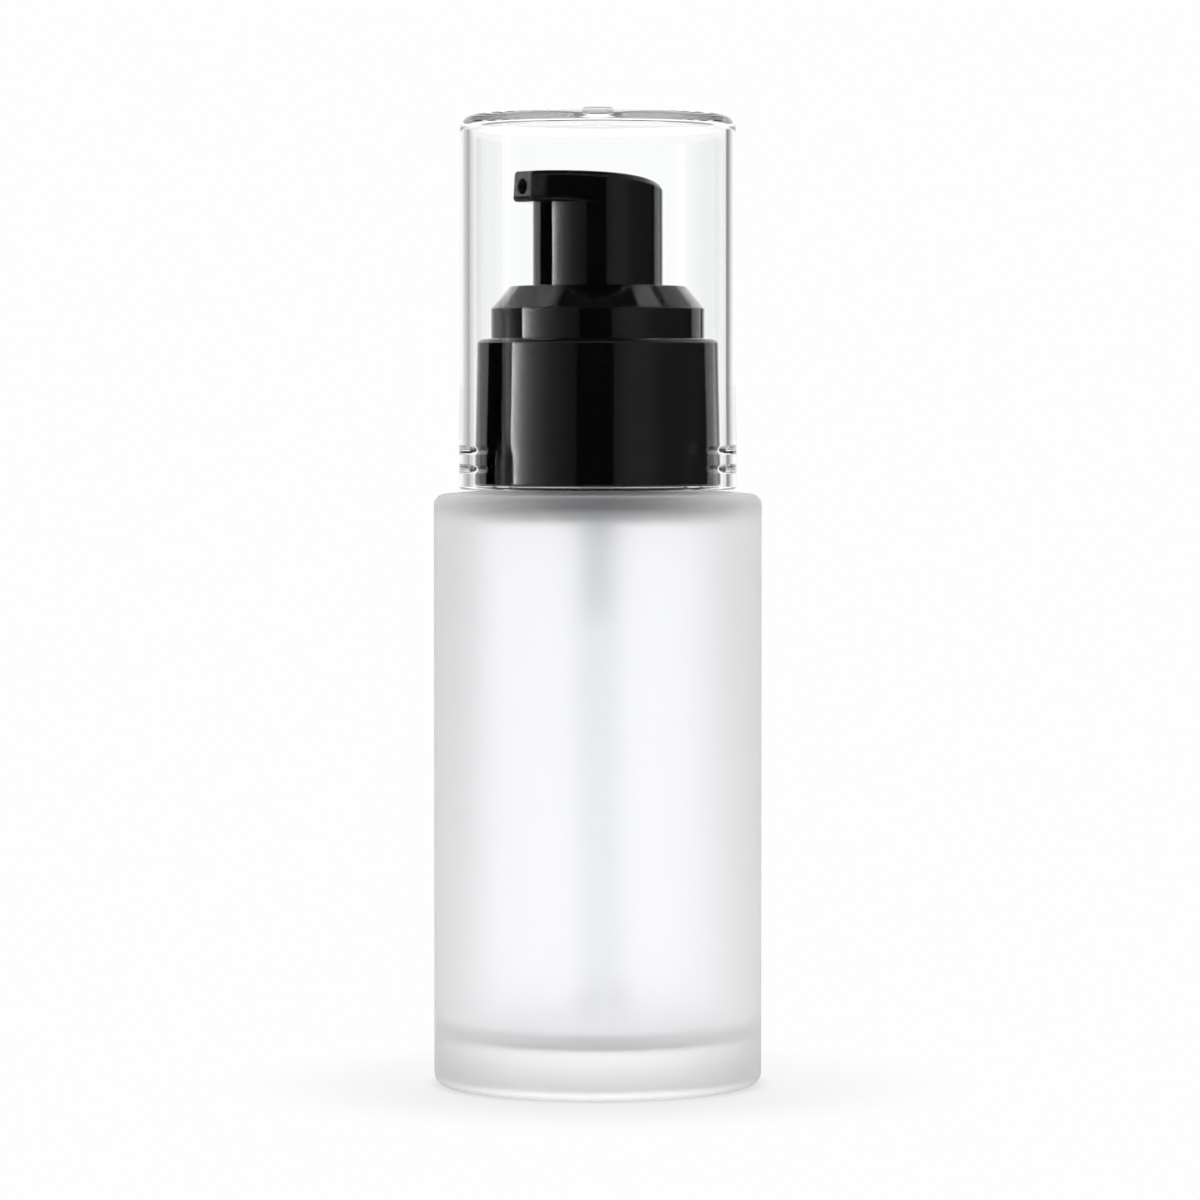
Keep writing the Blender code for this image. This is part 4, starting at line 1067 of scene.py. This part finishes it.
HIGH_LIGHT = ((-180, 1.6), (-155, 1.2), (-146, 0.4), (-124, 0.45), (-100, 0.5), (-95, 0.45), (-93.5, 0.02),
              (-30, 0.02), (30, 0.05), (60, 0.2), (85, 0.4), (105, 0.65), (109, 0.65), (109.5, 0.0),
              (117, 0.0), (117.5, 0.4), (146, 0.5), (155, 1.2), (180, 1.6))
OVERHEAD_BEHIND = 0.08
OVERHEAD_BEFORE = 0.01
OVERHEAD_EDGE = 0.03
RISING_FROM, HIGH_FROM, OVERHEAD_FROM = (3.5, 5.5), (26, 29), (65.2, 66.8)

# %% [markdown]
# Two corrections ask what a ray has met on its way. Black plastic mirrors only one part in 25 of
# what it faces, so what it mirrors through the cap from the camera's side is lifted, up to twice.
# And a clear cap on a white sweep shows white behind it from every side, so a ray that only
# passed through the cap finds the sweep there, apart from the narrow part behind the bottle,
# whose dark borders draw the lines of the cap's walls.

# %% The light of the room
GLOSS_LIFT = 0.89
STRAIGHT_BEHIND = -0.87, -0.79


def round_plan(recipe, degrees, plan):
    """Brightness read from a plan of (degrees, brightness) by an angle from -180 to 180."""
    peak = max(bright for place, bright in plan)
    stops = [((place + 180) / 360, bright / peak) for place, bright in plan]
    return recipe.node("ShaderNodeValToRGB", {"stops": stops}, {0: (degrees + 180) / 360}) * peak


def light_the_room():
    """Pass from the level plan to the rising, high and overhead light with the direction's rise."""
    world = bpy.data.worlds.new("studio")
    bpy.context.scene.world = world
    recipe = Recipe(world)
    x, y, z = recipe.axes(recipe.node("ShaderNodeTexCoord"))
    across, ahead = x * right.x + y * right.y, x * toward.x + y * toward.y
    degrees = across.maths('ARCTAN2', across, ahead) * math.degrees(1)
    overhead = OVERHEAD_BEFORE + (ahead.fade(OVERHEAD_EDGE, -OVERHEAD_EDGE)
                                  * (OVERHEAD_BEHIND - OVERHEAD_BEFORE))
    light = round_plan(recipe, degrees, LEVEL_LIGHT)
    for (low, high), above in ((RISING_FROM, round_plan(recipe, degrees, RISING_LIGHT)),
                               (HIGH_FROM, round_plan(recipe, degrees, HIGH_LIGHT)),
                               (OVERHEAD_FROM, overhead)):
        over = z.fade(math.sin(math.radians(low)), math.sin(math.radians(high)))
        light = light * (1 - over) + above * over
    seen, out_of_cap = recipe.ray("Is Camera Ray"), recipe.leaves_cap()
    mirrored = recipe.ray("Glossy Depth").clipped()
    both_walls = (recipe.ray("Transmission Depth") - 2).clipped()
    lift = ((ahead + 1).power(0.5) * GLOSS_LIFT).clipped()
    light = light * (out_of_cap * mirrored * both_walls * lift + 1)
    straight = out_of_cap * (1 - mirrored) * ahead.fade(*STRAIGHT_BEHIND)
    light = light * (1 - straight) + SWEEP_LIT * straight
    strength = light * (1 - seen) + SWEEP_WHITE * seen
    background = recipe.node("ShaderNodeBackground", None, {"Color": grey(1), "Strength": strength})
    recipe.node("ShaderNodeOutputWorld", None, {"Surface": background})


light_the_room()

# %% [markdown]
# A wall of clear plastic passes light along inside itself, from face to face, before it lets it
# out. With the few bounces that Blender allows at first such a path ends black, so more are given.

# %% Longer paths for the light
paths = bpy.context.scene.cycles
paths.max_bounces = paths.transmission_bounces = 32
paths.glossy_bounces = 24
print("bounces:", paths.max_bounces)

# %% [markdown]
# The floor is the sweep's own white. Far off it shows as that white to the eye, and near the
# bottle it is a real matt surface with a glow, so the soft shadow comes from the light. The glow
# is weaker right under the heel, where little light gets in. What the cap's walls mirror of the
# far floor is darker, as in a studio whose sweep is narrow, so that they show from above too.

# %% The white floor
FLOOR_RADIUS = 800 * MM
FLOOR_RINGS, FLOOR_SIDES = 9, 96
FLOOR_GLOW = 0.78
FLOOR_ALBEDO = 0.36
FLOOR_SHADE = 0.5
UNDER, BESIDE = 14 * MM, 19 * MM
NEAR, FAR = 19 * MM, 42 * MM


def floor_material():
    """Matt white with a glow, dimmed under the heel as painted shadow, which turns into plain white with the
    distance.
    """
    recipe = Recipe(bpy.data.materials.new("sweep_white"))
    radius, z = recipe.from_axis(recipe.node("ShaderNodeTexCoord", output="Object"))
    far, beside = radius.fade(NEAR, FAR), radius.fade(UNDER, BESIDE)
    matt = recipe.node("ShaderNodeBsdfDiffuse", None, {"Color": grey(FLOOR_ALBEDO)})
    # painted shadow: the glow falls to FLOOR_SHADE of itself right under the heel
    glow = recipe.node("ShaderNodeEmission", None, {
        "Strength": FLOOR_GLOW * (FLOOR_SHADE + beside * (1 - FLOOR_SHADE))})
    near = recipe.node("ShaderNodeAddShader", None, {0: matt, 1: glow})
    seen = recipe.ray("Is Camera Ray")
    in_cap = recipe.leaves_cap() * recipe.ray("Glossy Depth").clipped()
    plain = recipe.node("ShaderNodeEmission", None, {
        "Strength": SWEEP_LIT + seen * (SWEEP_WHITE - SWEEP_LIT) + in_cap * (SWEEP_MIRRORED - SWEEP_LIT)})
    both = recipe.node("ShaderNodeMixShader", None, {0: far, 1: near, 2: plain})
    recipe.node("ShaderNodeOutputMaterial", None, {"Surface": both})
    return recipe.owner


rim_to_middle = FLOOR_RADIUS * np.linspace((1, 0), (0, 0), FLOOR_RINGS)
floor = placed("sweep", turned("sweep", rim_to_middle, False, sides=FLOOR_SIDES))
floor.data.materials.append(floor_material())
print("floor radius in mm:", FLOOR_RADIUS / MM)

# %% [markdown]
# Last, the view settings are set to show colours as written, and the number of pieces is printed.

# %% Finish
bpy.context.scene.view_settings.view_transform = 'Standard'
print("pieces:", len(made))
